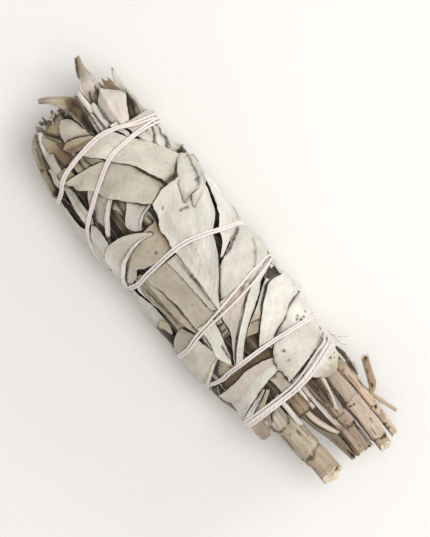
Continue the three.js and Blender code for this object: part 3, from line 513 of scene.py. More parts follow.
    {"edgeA": [(-13.6, -27.2), (-9, -27.1), (-5, -26.6), (-2, -27), (0.4, -27.8), (1.6, -28.6)],
     "edgeB": [(-13, -33), (-11.8, -34.3), (-10.6, -34.5), (-8.6, -33), (-5, -31.7), (-1.5, -31),
         (0.6, -30.5)],
     "layer": 3, "tone": "pink", "toneB": "white", "ridge": (0.05, -0.45), "crumple": 0.5, "rise": 0.6},
    {"edgeA": [(14.8, -26.6), (10, -26.2), (5, -25.9), (2.9, -25.8)],
     "edgeB": [(14.1, -28.6), (13.5, -30.6), (12, -32), (8, -33), (4, -33.8), (0.6, -34.4)],
     "layer": 3.4, "endShape": [0, 1.4, 1.9, 0.9, 0], "ragged": 0.3, "crumple": 0.7, "rise": 0.7,
     "specks": [(3.9, -28.3, 0.32), (3.4, -30.5, 0.28), (1.9, -28, 0.18), (1.4, -29.2, 0.15),
         (2.4, -30.2, 0.15)], "cracks": [(0.16, (14, -27.4), (14, -29.6), (13.2, -31.2))],
     "creases": [(-0.3, (13, -29.3), (4, -29.9))]},
    {"edgeA": [(14.6, -28), (13.4, -31), (11, -32.6), (8, -33.3), (4, -34), (1, -34.8)],
     "edgeB": [(14.6, -32), (12.8, -35), (9.6, -36.2), (5, -36.8), (1, -37)],
     "layer": 2.4, "tone": "white", "rise": 1, "liftA": -0.3,
     "cracks": [(0.4, (0.6, -34.7), (4, -34.1), (8, -33.3), (11.8, -32.3), (13.6, -30.8), (14.2, -28.6))]},
    {"edgeA": [(-2.5, -31.2), (-2.3, -33), (-2.4, -36)], "edgeB": [(1, -30.8), (1.4, -33), (1.6, -36)],
     "layer": 2, "tone": "dun", "cracks": [(0.32, (0.2, -33), (1, -34.8))], "startTone": ("brown", 0.8),
     "grooves": 2},
    {"edgeA": [(-5.4, -31.8), (-7.2, -32.8), (-9.4, -34.9)],
     "edgeB": [(-4.9, -32.4), (-6.4, -33.4), (-8, -35.2)],
     "layer": 1.8, "tone": "white", "step": 0.25},
    {"edgeA": [(-4.4, -32.6), (-5.6, -33.8), (-6.8, -35.2)],
     "edgeB": [(-3.9, -33), (-4.9, -34.2), (-5.8, -35.4)],
     "layer": 1.2, "tone": "sand", "step": 0.25},
]


# Leaves that stand free at either end: margins in [x, along], and heights over the table along the leaf.
tipLeaves = [
    # outer left side of the leaf tips
    {"edgeA": [(-14.4, 30), (-13.9, 35), (-12.9, 39), (-11.2, 42.3), (-8.9, 43.8)],
     "edgeB": [(-11.4, 30.5), (-10.8, 35), (-10.2, 39), (-9.3, 41.6), (-8.5, 43.4)],
     "heights": [16, 16.5, 17, 17.6, 17.6], "cup": -0.4,
     "tones": [(0, "drab"), (0.35, "khaki"), (0.6, "dun"), (0.85, "dun"), (1, "tan")], "rollA": (0.6, 2),
     "grooves": 2, "crumple": 1.4,
     "cracks": [(0.4, (-12.9, 31), (-11.8, 35.6)), (0.45, (-11.2, 33), (-10.7, 38.4)),
         (0.35, (-10.5, 38.6), (-9.5, 42)), (0.22, (-12.5, 37.4), (-11, 41))],
     "specks": [(-12.8, 36.4, 0.4), (-12.2, 35, 0.3)]},
    {"edgeA": [(-14.7, 27), (-14.5, 32), (-13.7, 36.4)],
     "edgeB": [(-13.1, 27.5), (-12.9, 33), (-13, 36.6)],
     "heights": [15.6, 16, 15.6], "cup": 0.4},
    # its umber and brown lower part is painted shade between the strip and the leaf beside it
    {"edgeA": [(-9.1, 30), (-9.1, 35), (-9.2, 39), (-8.6, 42)],
     "edgeB": [(-5.6, 30), (-5.4, 34), (-5.2, 38.2), (-7.4, 42.2)],
     "heights": [20, 20.8, 21.2, 20.5],
     "tones": [(0, "umber"), (0.35, "brown"), (0.6, "brown"), (0.8, "tan"), (1, "dun")], "cup": 0.5,
     "cracks": [(0.4, (-7.5, 41.8), (-5.6, 38)), (0.6, (-8.8, 37.6), (-8.9, 34)),
         (0.32, (-6.6, 38.6), (-6.2, 35))]},
    {"edgeA": [(-11, 30.6), (-10.9, 35), (-10.4, 38.5), (-9.4, 41.5), (-8.2, 43.5)],
     "edgeB": [(-9.3, 30.8), (-9.2, 34.4), (-8.4, 38), (-7.6, 41.2), (-7.5, 43.2)],
     "heights": [21, 21.4, 21.2, 20.6, 20],
     "tones": [(0, "stone"), (0.55, "grey"), (0.8, "white"), (1, "white")], "cup": 0.4,
     "cracks": [(0.14, (-9.3, 38), (-8.8, 41.4))]},
    # torn cluster over the left half
    {"edgeA": [(-8.2, 42.6), (-8.2, 44), (-7.8, 44.9)],
     "edgeB": [(-6.6, 42.6), (-6.8, 43.9), (-7.5, 44.8)],
     "heights": [18, 18.2, 18], "tone": "olive", "step": 0.25},
    {"edgeA": [(-6.1, 42), (-5.9, 43.6), (-5.4, 45.7)], "edgeB": [(-4.9, 42), (-5, 43.9), (-5.1, 45.7)],
     "heights": [18.4, 18.8, 18.6], "tone": "dark", "step": 0.2, "cup": 0.4},
    {"edgeA": [(-4.2, 41), (-4, 44), (-3.6, 45)], "edgeB": [(-2.4, 41), (-2.5, 44), (-2.7, 45.1)],
     "heights": [18, 18.4, 18], "tone": "brown", "step": 0.25, "ragged": 0.4, "crumple": 2},
    {"edgeA": [(-2.2, 40), (-2, 43), (-1.7, 44.9)], "edgeB": [(0, 40), (-0.5, 43.2), (-1.2, 44.9)],
     "heights": [18, 18, 17.6], "tone": "dark", "step": 0.25, "ragged": 0.4, "crumple": 2},
    {"edgeA": [(-6.8, 36), (-7.4, 39.4), (-7.9, 42.8)], "edgeB": [(-3.8, 36), (-2.6, 40), (-1.8, 43.4)],
     "heights": [19, 19.8, 19.6], "tone": "tan", "cup": 0.6, "ragged": 0.35, "tilt": 0.5, "crumple": 1.6,
     "startTone": ("brown", 6), "endTone": ("brown", 1)},
    {"edgeA": [(-5.3, 34), (-4.9, 38), (-4.5, 40), (-3.7, 41.6), (-2.7, 42.4)],
     "edgeB": [(0.7, 34), (0.3, 38), (-0.2, 40), (-1, 41.5), (-2.3, 42.4)],
     "heights": [21.4, 22.2, 21.8, 21], "tones": [(0, "tan"), (0.5, "dun"), (0.72, "stone"), (1, "stone")],
     "cup": 0.7},
    # horn and the strips beside it
    # its dark, brown and umber lower part is its brown colour with painted shade in its concave underside
    {"edgeA": [(0.4, 33), (0.4, 38), (0.1, 41), (-0.4, 43.2), (-1.2, 45.2), (-2.4, 46.9), (-4, 48.2)],
     "edgeB": [(2, 33), (2.5, 38), (3.2, 41.2), (3.4, 43), (3.1, 44.3), (1.2, 46), (-1.2, 47.9),
         (-3.6, 49.1)],
     "heights": [17.5, 19, 20.2, 21, 21.6, 21.4, 20.8], "cup": -1.7, "crumple": 0.9, "grooves": 1,
     "tones": [(0, "dark"), (0.35, "dark"), (0.46, "brown"), (0.56, "umber"), (0.63, "brown"),
         (0.7, "khaki"), (0.8, "green"), (0.9, "dun"), (1, "dun")],
     "cracks": [(0.4, (-0.5, 43.4), (-1.6, 45.5)), (0.35, (-1.6, 45.5), (-3.8, 48)),
         (0.4, (1.4, 35), (1.8, 40)), (0.3, (2.6, 41.5), (2, 43.6)), (0.2, (1, 41), (0.6, 43))]},
    {"edgeA": [(1.8, 33), (2.5, 38), (3, 41.4)], "edgeB": [(4.2, 33), (4.4, 38), (4.4, 41.8)],
     "heights": [21.2, 21.6, 20.8], "tone": "stone", "cup": 0.3, "step": 0.25, "grooves": 3,
     "cracks": [(0.32, (3, 35), (3.3, 41)), (0.32, (4.15, 35), (4.2, 41.5))]},
    {"edgeA": [(3.4, 38.5), (3.5, 42), (3.6, 44.7)], "edgeB": [(4.7, 38.5), (4.8, 42), (4.8, 44.8)],
     "heights": [20.8, 21.6, 21.8], "tone": "white", "cup": 0.3},
    {"edgeA": [(4.2, 33), (4.3, 38), (4.5, 41)], "edgeB": [(6.3, 33), (6, 38), (5.7, 40.9)],
     "heights": [21.4, 21.6, 21.2], "tone": "white", "cup": 0.3},
    # spike, crumpled pieces and the bright facetted leaf
    {"edgeA": [(8.4, 37), (8.2, 41), (8.1, 43), (8.6, 44.5)],
     "edgeB": [(10.9, 37), (10.3, 41), (9.7, 43), (9.1, 44.4)],
     "heights": [16.5, 17, 17.4, 17.6], "tone": "brown", "cup": 0.5, "step": 0.25, "crumple": 1.8},
    {"edgeA": [(9.4, 38), (9.8, 42), (10.2, 43.4)], "edgeB": [(12.2, 38), (11.9, 42), (11.6, 43.3)],
     "heights": [15.5, 16.4, 16.4], "tone": "drab", "ragged": 0.6, "step": 0.25, "cup": 0.3,
     "crumple": 1.8, "startTone": ("brown", 4.4), "endTone": ("brown", 1)},
    {"edgeA": [(10.6, 38), (11.5, 41.4), (12.3, 43), (13.4, 44.7)],
     "edgeB": [(13.2, 38), (13.6, 41.5), (13.7, 43), (13.9, 44.5)],
     "heights": [15, 15.6, 16, 16], "rollA": (0.9, 2.6), "endTone": ("dark", 1.6), "cup": 0.4},
    {"edgeA": [(5, 38), (4.9, 43), (4.9, 44.9), (5.8, 46.1), (6.7, 48), (7.7, 50), (8.6, 51.4)],
     "edgeB": [(8.2, 38), (8.9, 43), (9.3, 44.8), (9.3, 46.2), (9.1, 47.6), (9.3, 49.6), (9.8, 51.2)],
     "heights": [19, 19.6, 19.6, 19.2, 18.6, 18, 17.4], "cup": 0.3, "tilt": 0.4, "rollA": (0.5, 2.2),
     "ridge": (0.1, 0.3), "crumple": 1.5,
     "tones": [(0, "brown"), (0.3, "tan"), (0.45, "petal"), (0.55, "petal"), (0.66, "dun"), (0.85, "tan"),
         (1, "tan")],
     "cracks": [(0.4, (6.6, 47.4), (8.6, 51)), (0.35, (5.4, 41), (6.4, 43.2)),
         (0.5, (7.6, 41.4), (8.2, 43.4))]},
    # pink on one side of its fold and petal on the other: painted shade and light
    {"edgeA": [(6.8, 32.5), (5.8, 36), (5.8, 38.6), (6.4, 40.3), (7.4, 41.3), (8.5, 42.5)],
     "edgeB": [(9, 32), (11, 36), (12, 38.6), (11.3, 39.8), (9.9, 41.2), (8.8, 42.5)],
     "heights": [21, 21.8, 21.6, 20.8], "tone": "pink", "toneB": "petal", "cup": 0.5,
     "ridge": (-0.35, 0.7), "cracks": [(0.4, (5.95, 35.4), (5.95, 40))]},
    # curled leaf at the right
    {"edgeA": [(8.2, 32.6), (9.8, 35.3), (11.2, 37), (12.4, 38.8)],
     "edgeB": [(11.8, 31), (12.9, 34), (13, 36.5), (12.8, 38.8)],
     "heights": [18.6, 19, 18.8, 18.6], "cup": -0.9, "tone": "khaki", "startTone": ("brown", 2),
     "grooves": 4,
     "cracks": [(0.4, (10, 33), (12.2, 37.4)), (0.35, (11.2, 32.6), (12.6, 36.6)),
         (0.3, (9.2, 33), (11, 35.8))]},
    {"edgeA": [(12.2, 30.5), (12.7, 34), (12.8, 37), (12.9, 38.9)],
     "edgeB": [(14.2, 30.5), (14.1, 34), (13.9, 37), (13.4, 38.9)],
     "heights": [19, 19.6, 19.4, 19], "tone": "white", "cup": 0.3, "crumple": 1,
     "cracks": [(0.14, (13.4, 33), (13.4, 37))]},
    {"edgeA": [(8, 33.8), (10.2, 36.5), (12.3, 39)], "edgeB": [(8.9, 33.3), (11.1, 36), (12.9, 38.6)],
     "heights": [21.4, 21, 19.6], "tone": "white", "cup": 0.35},
    {"edgeA": [(-6.3, 37), (-4.6, 37.6), (-2, 36.8), (0.9, 35.2)],
     "edgeB": [(-6, 36.4), (-4.9, 34.9), (-3, 34.4), (0.8, 34.4)],
     "heights": [22.6, 23.8, 24, 23.6], "tone": "tan", "toneB": "brown", "cup": 0.5, "crumple": 1.6,
     "grooves": 1},
]
stemEndLeaves = [
    # leaf base on the left stem, and the flap that lies over it
    {"edgeA": [(-9.5, -34.5), (-9.5, -38.6), (-9.3, -41), (-8.4, -42.3)],
     "edgeB": [(-4.7, -34.5), (-4.7, -39), (-4.9, -41), (-5.8, -42.1)],
     "heights": [20.2, 20.9, 20.9, 20.5], "tone": "dun", "cup": 0.5, "crumple": 1, "endTone": ("tan", 1),
     "grooves": 2,
     "cracks": [(0.1, (-8.2, -37.5), (-8.2, -40.8)), (0.08, (-6.9, -37.5), (-6.9, -41.2)),
         (0.14, (-5.9, -37.5), (-5.9, -41)),
         (0.5, (-9.3, -39.4), (-9.2, -41), (-8.3, -42.1), (-5.7, -41.9)),
         (0.6, (-5.7, -41.9), (-4.9, -40.9)), (0.6, (-4.8, -40.8), (-4.7, -37))]},
    {"edgeA": [(-12.7, -34), (-12.7, -38), (-12.5, -40.4), (-12.1, -41.3)],
     "edgeB": [(-6.6, -34), (-7.6, -37.7), (-9.3, -39.8), (-10.4, -41.2)],
     "heights": [21.4, 20.9, 19.8, 18.6], "tone": "rose", "cup": 0.5, "tilt": 1.3, "rollB": (0.5, 2.2),
     "crumple": 1.4, "grooves": 2},
    # white strips, the torn bud and the other flaps
    {"edgeA": [(-4.2, -35), (-4.15, -39), (-4.2, -43.4)], "edgeB": [(-3, -35), (-3, -39), (-3.1, -43.8)],
     "heights": [21.2, 20.9, 20.2], "tone": "white", "step": 0.25, "cup": 0.3},
    {"edgeA": [(0.5, -35), (0.5, -39), (0.5, -42.5)], "edgeB": [(1.5, -35), (1.5, -39), (1.5, -42.4)],
     "heights": [21.2, 20.8, 20.2], "tone": "white", "step": 0.25, "cup": 0.3, "grooves": 1},
    {"edgeA": [(1.6, -35), (1.7, -41), (1.9, -46), (2.4, -49.6)],
     "edgeB": [(2.9, -35), (2.9, -41), (3, -46), (3.3, -50.2)],
     "heights": [20.8, 20.6, 19.6, 18.4], "tone": "petal", "step": 0.25, "cup": 0.3,
     "endTone": ("tan", 2.5), "grooves": 2, "cracks": [(0.24, (3.05, -41.5), (3.1, -47))]},
    # a dark strip: painted shade in the gap between the spur and the right stem
    {"edgeA": [(6.3, -36), (6.5, -40), (6.3, -44), (6, -47)],
     "edgeB": [(7.4, -36), (7.4, -40), (7.2, -44), (6.8, -47)],
     "heights": [17.4, 17.2, 17, 16.6], "tone": "dark", "step": 0.25},
    {"edgeA": [(3, -35), (3.1, -41), (3.6, -43.6), (4.2, -45)],
     "edgeB": [(6.4, -35), (5.9, -41), (5.2, -43.6), (4.5, -45)],
     "heights": [20.4, 20.6, 20.6, 20.4], "tone": "brown", "crumple": 1.8, "step": 0.25, "cup": -0.5,
     "grooves": 2,
     "cracks": [(0.4, (3.6, -37), (3.7, -43)), (0.4, (5.3, -37), (4.8, -43)),
         (0.3, (4.3, -37.5), (4.3, -40))]},
    {"edgeA": [(6.4, -35.5), (6.2, -38.4), (5.3, -42), (4.3, -45.4)],
     "edgeB": [(7.3, -35.5), (7.1, -38.6), (6.3, -42), (5, -46.2)],
     "heights": [21.4, 21.2, 21, 20.6], "tone": "blush", "step": 0.25, "cup": 0.3},
    {"edgeA": [(12.9, -35), (13.1, -37.4), (13.1, -39.6)],
     "edgeB": [(13.7, -35), (14.2, -37.4), (13.8, -39.6)],
     "heights": [16.6, 16.2, 15.6], "tone": "dark", "step": 0.25, "cup": 0.3},
    {"edgeA": [(13.9, -38.6), (13.8, -40.6), (13.3, -42.8)],
     "edgeB": [(14.5, -38.6), (14.4, -40.8), (13.5, -43)],
     "heights": [15.6, 15, 14.6], "step": 0.25, "cup": 0.3},
    # a dark piece: painted shade in the gap right of the edge stem
    {"edgeA": [(12.9, -39), (12.9, -41), (13.1, -43.2)], "edgeB": [(14, -39), (13.8, -41), (13.3, -43.2)],
     "heights": [14.6, 14.2, 13.8], "tone": "dark", "step": 0.25, "cup": 0.3},
]

# The flap on top at the stem end, laid last.
endFlap = {
    "edgeA": [(3.4, -34.6), (5.2, -37), (7.5, -38.9), (9.2, -39.4)],
    "edgeB": [(13.4, -33), (12.7, -36.6), (11.7, -37.7), (10.7, -38.8)],
    "heights": [22.4, 22.6, 21.8, 21], "tone": "white", "cup": 0.9, "endTone": ("sand", 4.4), "crumple": 0.8,
    "specks": [(11.1, -36, 0.3), (11.7, -36.6, 0.2), (12.4, -35.6, 0.2)],
}

# Loose crumbs among the leaf tips.
tipCrumbs = {
    "count": 16, "from": (-7.2, 42.2), "to": (0.4, 44.0), "heights": (18.2, 20.2),
    "long": (0.9, 1.9), "wide": (0.5, 1.1), "tones": ("dark", "brown", "olive", "brown", "tan"),
}


# Rings of leaf ends that fill the tip end, outermost first. Lift is from the bunch's outline, the arc is in
# degrees from the top, start and reach are along the bunch, and cut shortens the leaves at the sides.
tipRings = [
    {"count": 12, "lift": -1.2, "arc": (104, 262), "start": 27, "reach": (42.2, 45.8), "wide": 5, "cut": 2},
    {"count": 13, "lift": -3.2, "arc": (74, 286), "start": 30, "reach": (42.6, 46), "wide": 4.6, "cut": 1.6},
    {"count": 13, "lift": -5.4, "arc": (10, 340), "start": 32, "reach": (42.8, 46), "wide": 4.2, "cut": 1},
    {"count": 9, "lift": -7.8, "arc": (20, 330), "start": 33, "reach": (42.6, 45.8), "wide": 4, "cut": 0.6},
    {"count": 5, "lift": -10.2, "arc": (0, 270), "start": 34, "reach": (42.4, 45.4), "wide": 3.6, "cut": 0.4},
]
ringTones = ("sand", "green", "tan", "pink", "khaki", "pale", "tan")
baseRing = {"count": 5, "lift": -1.6, "arc": (112, 250), "start": -31, "reach": (-38.5, -42.5), "wide": 5.6}
lowerRows = {
    "girths": (26.8, 37, 47, 57, 67.4), "start": -25, "step": 16.4, "count": 4, "steepest": 50,
    "middle": 47, "halfLength": (13.5, 17.5), "width": (8, 10.4),
    "tones": ("pale", "green", "pink", "white", "grey"),
}
# Inner leaves: painted dark as the shade in the gaps, and brown.
innerLeaves = {
    "count": 46, "depth": 3.3, "width": (1.8, 3.6), "step": 0.8, "starts": (-41, -35), "ends": (36, 42),
    "packedFrom": -38, "packedTo": 36, "packedDepth": 4.4, "tones": ("dark", "brown"),
}

laidLeaves = []
packed = (gridAlong > innerLeaves["packedFrom"]) & (gridAlong < innerLeaves["packedTo"])
packedRadius = np.where(packed, outline(gridAlong) - innerLeaves["packedDepth"], 0.0)
top = np.repeat(packedRadius[:, None], girthCount, axis=1)  # radius of the surface at each place
upper = np.full((alongCount, girthCount), -1)  # number of the upper leaf there


def drape(base, rounds):
    # A taut sheet over a bumpy base.
    height = base.copy()
    for _ in range(rounds):
        p = np.pad(height, 1, mode="edge")
        height = np.maximum(base, (p[:-2, 1:-1] + p[2:, 1:-1] + p[1:-1, :-2] + p[1:-1, 2:]) / 4)
    return height


def awayFrom(x, y, start, end):
    # Distance to a straight line from one point to another.
    (x1, y1), (x2, y2) = start, end
    long = (x2 - x1) ** 2 + (y2 - y1) ** 2
    share = np.clip(((x - x1) * (x2 - x1) + (y - y1) * (y2 - y1)) / long, 0, 1)
    return np.hypot(x - x1 - share * (x2 - x1), y - y1 - share * (y2 - y1))


def stretches(marks):
    # Each straight stretch of marks that are given as (size, point, point, ...).
    return [(size, start, end) for size, *points in marks for start, end in zip(points, points[1:])]


def marginRows(leaf, step):
    # Both margins of a leaf in the same number of rows.
    lines = [smoothLine(leaf[name], 0.2, 2) for name in ("edgeA", "edgeB")]
    count = max(4, int(round(max(at[-1] for _, at in lines) / step)) + 1)
    share = np.linspace(0, 1, count)
    rows = []
    for line, at in lines:
        rows.append(np.column_stack([np.interp(share * at[-1], at, column) for column in line[:, :2].T]))
    return rows


def roundBunch(leaf, x, along):
    # How far round the bunch a point of a leaf lies, from its place seen from above.
    level = outline(along) + (leaf["layer"] - leafWays["topLayer"]) * leafWays["layerStep"]
    rise = leaf.get("rise", 0.0) * fade(np.abs(x) / level, *leafWays["flank"])
    return bunch["girthRadius"] * np.arcsin(np.clip(x / (level + rise - 0.3), -0.995, 0.995))


def headingOf(centre):
    heading = np.gradient(centre, axis=0)
    return heading / (np.linalg.norm(heading, axis=1)[:, None] + 1e-9)


def marginLines(leaf, step):
    # Middle line, lift, half width, way to margin B and distance of a leaf given by its margins.
    a, b = marginRows(leaf, step)
    if "heights" not in leaf:
        for margin, wrap in ((a, leaf.get("wrapA", 0)), (b, leaf.get("wrapB", 0))):
            margin[:, 0] = roundBunch(leaf, margin[:, 0], margin[:, 1]) + wrap
    centre, toEdge = (a + b) / 2, (b - a) / 2
    half = np.maximum(np.linalg.norm(toEdge, axis=1), leafWays["narrowest"] / 2)
    toEdge = toEdge / np.linalg.norm(toEdge + 1e-9, axis=1)[:, None]
    dist = np.append(0, np.cumsum(np.linalg.norm(np.diff(centre, axis=0), axis=1)))
    return centre, np.zeros(len(centre)), half, toEdge, dist


def spineLines(leaf, step):
    # The same for a leaf given by its spine and widths, with rounded ends.
    knots = [(*p[:2], p[2] if len(p) > 2 else 0.0, w) for p, w in zip(leaf["spine"], leaf["widths"])]
    line, dist = smoothLine(knots, step, 3)
    centre, lineLift = line[:, :2], line[:, 2]
    half = np.clip(line[:, 3], 0.25, None) / 2
    ends = np.minimum(0.45 * half, 1.2) + 0.2
    fromEnd = np.minimum(np.minimum(dist, dist[-1] - dist) / ends, 1)
    half = half * np.sqrt(np.clip(1 - (1 - fromEnd) ** 2, 0.04, 1))
    heading = headingOf(centre)
    near = np.maximum(outline(centre[:, 1]) + lineLift, 3)
    toEdge = np.column_stack([heading[:, 1] * bunch["girthRadius"] / near, -heading[:, 0]])
    return centre, lineLift, half, toEdge, dist


def unevenMargins(side, far, dist, rng):
    # Distance across the leaf at each place, with its small unevenness.
    across = side * far
    for sign in (-1, 1):
        uneven = 0.03 * far * ripple(rng, dist / 4, 0, 5)[:, None]
        uneven = uneven + leafWays["serration"] * ripple(rng, dist / 1.1, 0, 5)[:, None]
        across = across + sign * uneven * np.clip(sign * side, 0, 1) ** 2 * np.minimum(far / 1.5, 1)
    return across


def rollMargins(leaf, across, far, dist):
    # Rolls the margins in, and says how far each place is lifted.
    rollLift = np.zeros_like(across)
    for name, sign in (("rollA", -1), ("rollB", 1)):
        if name in leaf:
            width, turn = leaf[name]
            width = width * np.clip(np.sin(math.pi * dist / dist[-1]), 0.05, 1)[:, None] ** 0.5
            width = np.minimum(width, 1.3 * far)
            inward = np.clip(1 - (far - sign * across) / width, 0, 1)
            across = across - sign * width * (inward - np.sin(inward * turn) / turn)
            rollLift = rollLift + width / turn * (1 - np.cos(inward * turn))
    return across, rollLift


def shapeEnds(leaf, t, broadest, dist, rng):
    # How far each place moves along the leaf, for the shapes of its ends and their torn edges.
    shift = np.zeros((len(dist), len(t)))
    ragged = leaf.get("ragged", 0.45 * leaf.get("torn", 0))
    for shape, isEnd in (("startShape", False), ("endShape", True)):
        away = (dist[-1] - dist if isEnd else dist)[:, None]
        tear = abs(ragged) * ripple(rng, 0, t * broadest / 1.3, 7) if (ragged > 0) == isEnd else 0 * t
        table = leaf.get(shape, (0, 0))
        cut = np.interp(t, np.linspace(-1, 1, len(table)), table) + tear
        shift = shift + cut[None, :] * (1 - fade(away, 0, leafWays["endReach"]))
    return shift


def reliefOf(leaf, side, across, half, dist, rng):
    # Height of the leaf's own relief: lifted margins, rib, waves, crumpling, veins, folds and grooves.
    far, run = half[:, None], dist[:, None]
    broad = np.minimum(far / 2.5, 1)
    sideA, sideB = np.clip(-side, 0, 1) ** 3, np.clip(side, 0, 1) ** 3
    lift = leafWays["edgeLift"] * np.abs(side) ** 4 * np.minimum(far / 3, 1)
    lift = lift + leaf.get("liftA", 0) * sideA + leaf.get("liftB", 0) * sideB
    lift = lift - leafWays["rib"] * broad * hump(across, leafWays["ribWidth"])
    lift = lift + leafWays["wave"] * broad * ripple(rng, run / 5, across / 4)
    lift = lift + leafWays["fineWave"] * ripple(rng, run / 1.6, across / 1.3, 9)
    folds = crumple(rng, run / 7, across / 3.6) - 0.5
    lift = lift + leafWays["crumple"] * leaf.get("crumple", 1.0) * broad * folds
    third = len(half) // 3
    fromBase = dist if half[:third].mean() < half[-third:].mean() else dist[-1] - dist
    slanted = fromBase[:, None] - 1.1 * np.abs(across) + 0.5 * ripple(rng, run / 6, across / 3)
    vein = hump(slanted / leafWays["veinStep"] % 1.0 - 0.5, 0.17)
    lift = lift + leafWays["veinHeight"] * broad * vein * (1 - np.abs(side) ** 3)
    if "ridge" in leaf:
        at, high = leaf["ridge"]
        lift = lift + high * (1 - np.minimum(np.abs(side - at), 1))
    if "grooves" in leaf:
        lift = lift + leafWays["grooveDepth"] * np.cos(side * math.pi * leaf["grooves"])
    return lift


def alongLeaf(values, dist):
    return np.interp(dist / dist[-1], np.linspace(0, 1, len(values)), values)[:, None]


def drapedRadius(leaf, girth, along, side, lineLift):
    # Radius of a leaf that lies on what is there already.
    below = sample(top, girth, along) + leafWays["clearance"]
    if "layer" in leaf:
        level = outline(along) + (leaf["layer"] - leafWays["topLayer"]) * leafWays["layerStep"]
        sideways = np.abs(np.sin(girth / bunch["girthRadius"]))
        level = level + leaf.get("rise", 0.0) * fade(sideways, *leafWays["flank"])
        return drape(np.maximum(below, level), leafWays["rounds"])
    base = outline(along) + lineLift[:, None] - leaf.get("cup", 0.0) * side ** 2
    lying = np.maximum(base, np.minimum(below, base + 1.4))
    return drape(np.where(along < leafWays["lastTie"], lying, base), 4)


def tuckOf(leaf, side):
    # How far a tucked-under margin may go below the leaves that it lies on.
    tuckA = min(leaf.get("liftA", 0), 0) * np.clip(-side, 0, 1) ** 3
    return tuckA + min(leaf.get("liftB", 0), 0) * np.clip(side, 0, 1) ** 3


def layLeaf(leaf, group):
    # Lays one leaf on what is there already, and presses it into the surface.
    rng = np.random.default_rng(700 + len(laidLeaves))
    byMargins = "edgeA" in leaf
    standing = "heights" in leaf  # placed by its height over the table
    step = leaf.get("step", leafWays["fineStep"] if byMargins else leafWays["step"])
    centre, lineLift, half, toEdge, dist = (marginLines if byMargins else spineLines)(leaf, step)
    heading = headingOf(centre)
    columns = max(7, 2 * int(round(half.max() / step)) + 1)
    if "rollA" in leaf or "rollB" in leaf:
        columns = int(columns * 1.7) | 1
    t = np.linspace(-1, 1, columns)
    t = 0.7 * t + 0.3 * np.sin(t * math.pi / 2)  # closer together at the margins
    side = np.repeat(t[None, :], len(centre), 0)
    far = half[:, None]
    across, rollLift = rollMargins(leaf, unevenMargins(side, far, dist, rng), far, dist)
    shift = shapeEnds(leaf, t, half.max(), dist, rng)
    plane = centre[:, None] + toEdge[:, None] * across[..., None] + heading[:, None] * shift[..., None]
    first, along = plane[..., 0], plane[..., 1]
    lift = reliefOf(leaf, side, across, half, dist, rng)
    if standing:
        height = alongLeaf(leaf["heights"], dist) + lift + rollLift
        height = height + leaf.get("tilt", 0.0) * side - leaf.get("cup", 0.0) * side ** 2
        up = (height - bunch["axisHeight"]) / bunch["flattening"]
        girth = bunch["girthRadius"] * np.arctan2(first, up)
        radius = np.hypot(first, up) + sample(pull, girth, along)
    else:
        girth = first
        radius = drapedRadius(leaf, girth, along, side, lineLift) + lift + rollLift
    x = radius * np.sin(girth / bunch["girthRadius"])
    for height, start, end in leaf.get("creases", []):
        radius = radius + height * np.exp(-awayFrom(x, along, start, end) / leafWays["creaseWidth"])
    for _, start, end in stretches(leaf.get("cracks", [])):
        radius = radius - leafWays["crackDepth"] * hump(awayFrom(x, along, start, end), 0.3)
    if "layer" in leaf and not standing:  # nothing shows through, apart from a margin that is tucked under
        radius = np.maximum(radius, sample(top, girth, along) + 0.04 + 2 * tuckOf(leaf, side))
    times = max(2, int(math.ceil(step / 0.13)))
    press(finer(girth, times), finer(along, times), finer(radius, times), len(laidLeaves))
    laidLeaves.append({
        "group": group, "number": len(laidLeaves), "leaf": leaf, "rng": rng,
        "girth": girth, "along": along, "radius": radius, "x": x, "dist": dist, "side": side,
        "across": side * far, "edge": far - np.abs(side * far), "rolled": rollLift,
    })


def ringLeaves(ring, draw):
    # Short upright leaves, evenly round a part of the bunch.
    made = []
    lift, start = ring["lift"], ring["start"]
    for i in range(ring["count"]):
        share = i / (ring["count"] - 1)
        way = math.radians(ring["arc"][0] * (1 - share) + ring["arc"][1] * share + draw(-4, 4))
        girth = way * bunch["girthRadius"]
        shorter = 3 * max(0.0, math.cos(way)) + ring.get("cut", 0) * abs(math.sin(way))
        end = draw(*ring["reach"]) - shorter * np.sign(start)
        lean = draw(-2.2, 2.2)
        middle = (girth, (start + end) / 2, lift + draw(0, 0.8))
        made.append({
            "spine": [(girth, start, lift), middle, (girth + lean, end, lift - draw(0, 1))],
            "widths": [ring["wide"], ring["wide"] * draw(0.85, 1.1), ring["wide"] * draw(0.2, 0.7)],
            "cup": 0.6,
            "torn": i % 2,
            "tone": ringTones[(i * 5 + ring["count"]) % len(ringTones)],
        })
    return made


def lowerLeaves(rows, draw):
    # Rows of broad leaves round the underside, slanted in turn to one side and the other.
    made = []
    for row, girth in enumerate(rows["girths"]):
        for i in range(rows["count"]):
            x, y = girth + draw(-1.5, 1.5), rows["start"] + rows["step"] * i + draw(-2.5, 2.5)
            sideways = 1 - abs(girth / (math.pi * bunch["girthRadius"]) - 1) * 2.2
            steepness = (1 if (row + i) % 2 else -1) * draw(0.4, 1) * rows["steepest"] * sideways
            slant = math.radians(steepness)
            reach = draw(*rows["halfLength"])
            dx, dy = math.sin(slant) * reach, -math.cos(slant) * reach
            width = draw(*rows["width"])
            bend = draw(-1.6, 1.6)
            made.append({
                "spine": [(x - dx, y - dy), (x + bend, y), (x + dx, y + dy)],
                "widths": [width * 0.6, width, width * draw(0.12, 0.5)],
                "layer": 2 + (row * 2 + i) % 3,
                "torn": 1 if (row + 2 * i) % 3 == 0 else 0,
                "tone": rows["tones"][(row * 3 + i * 2) % 5],
            })
    return made


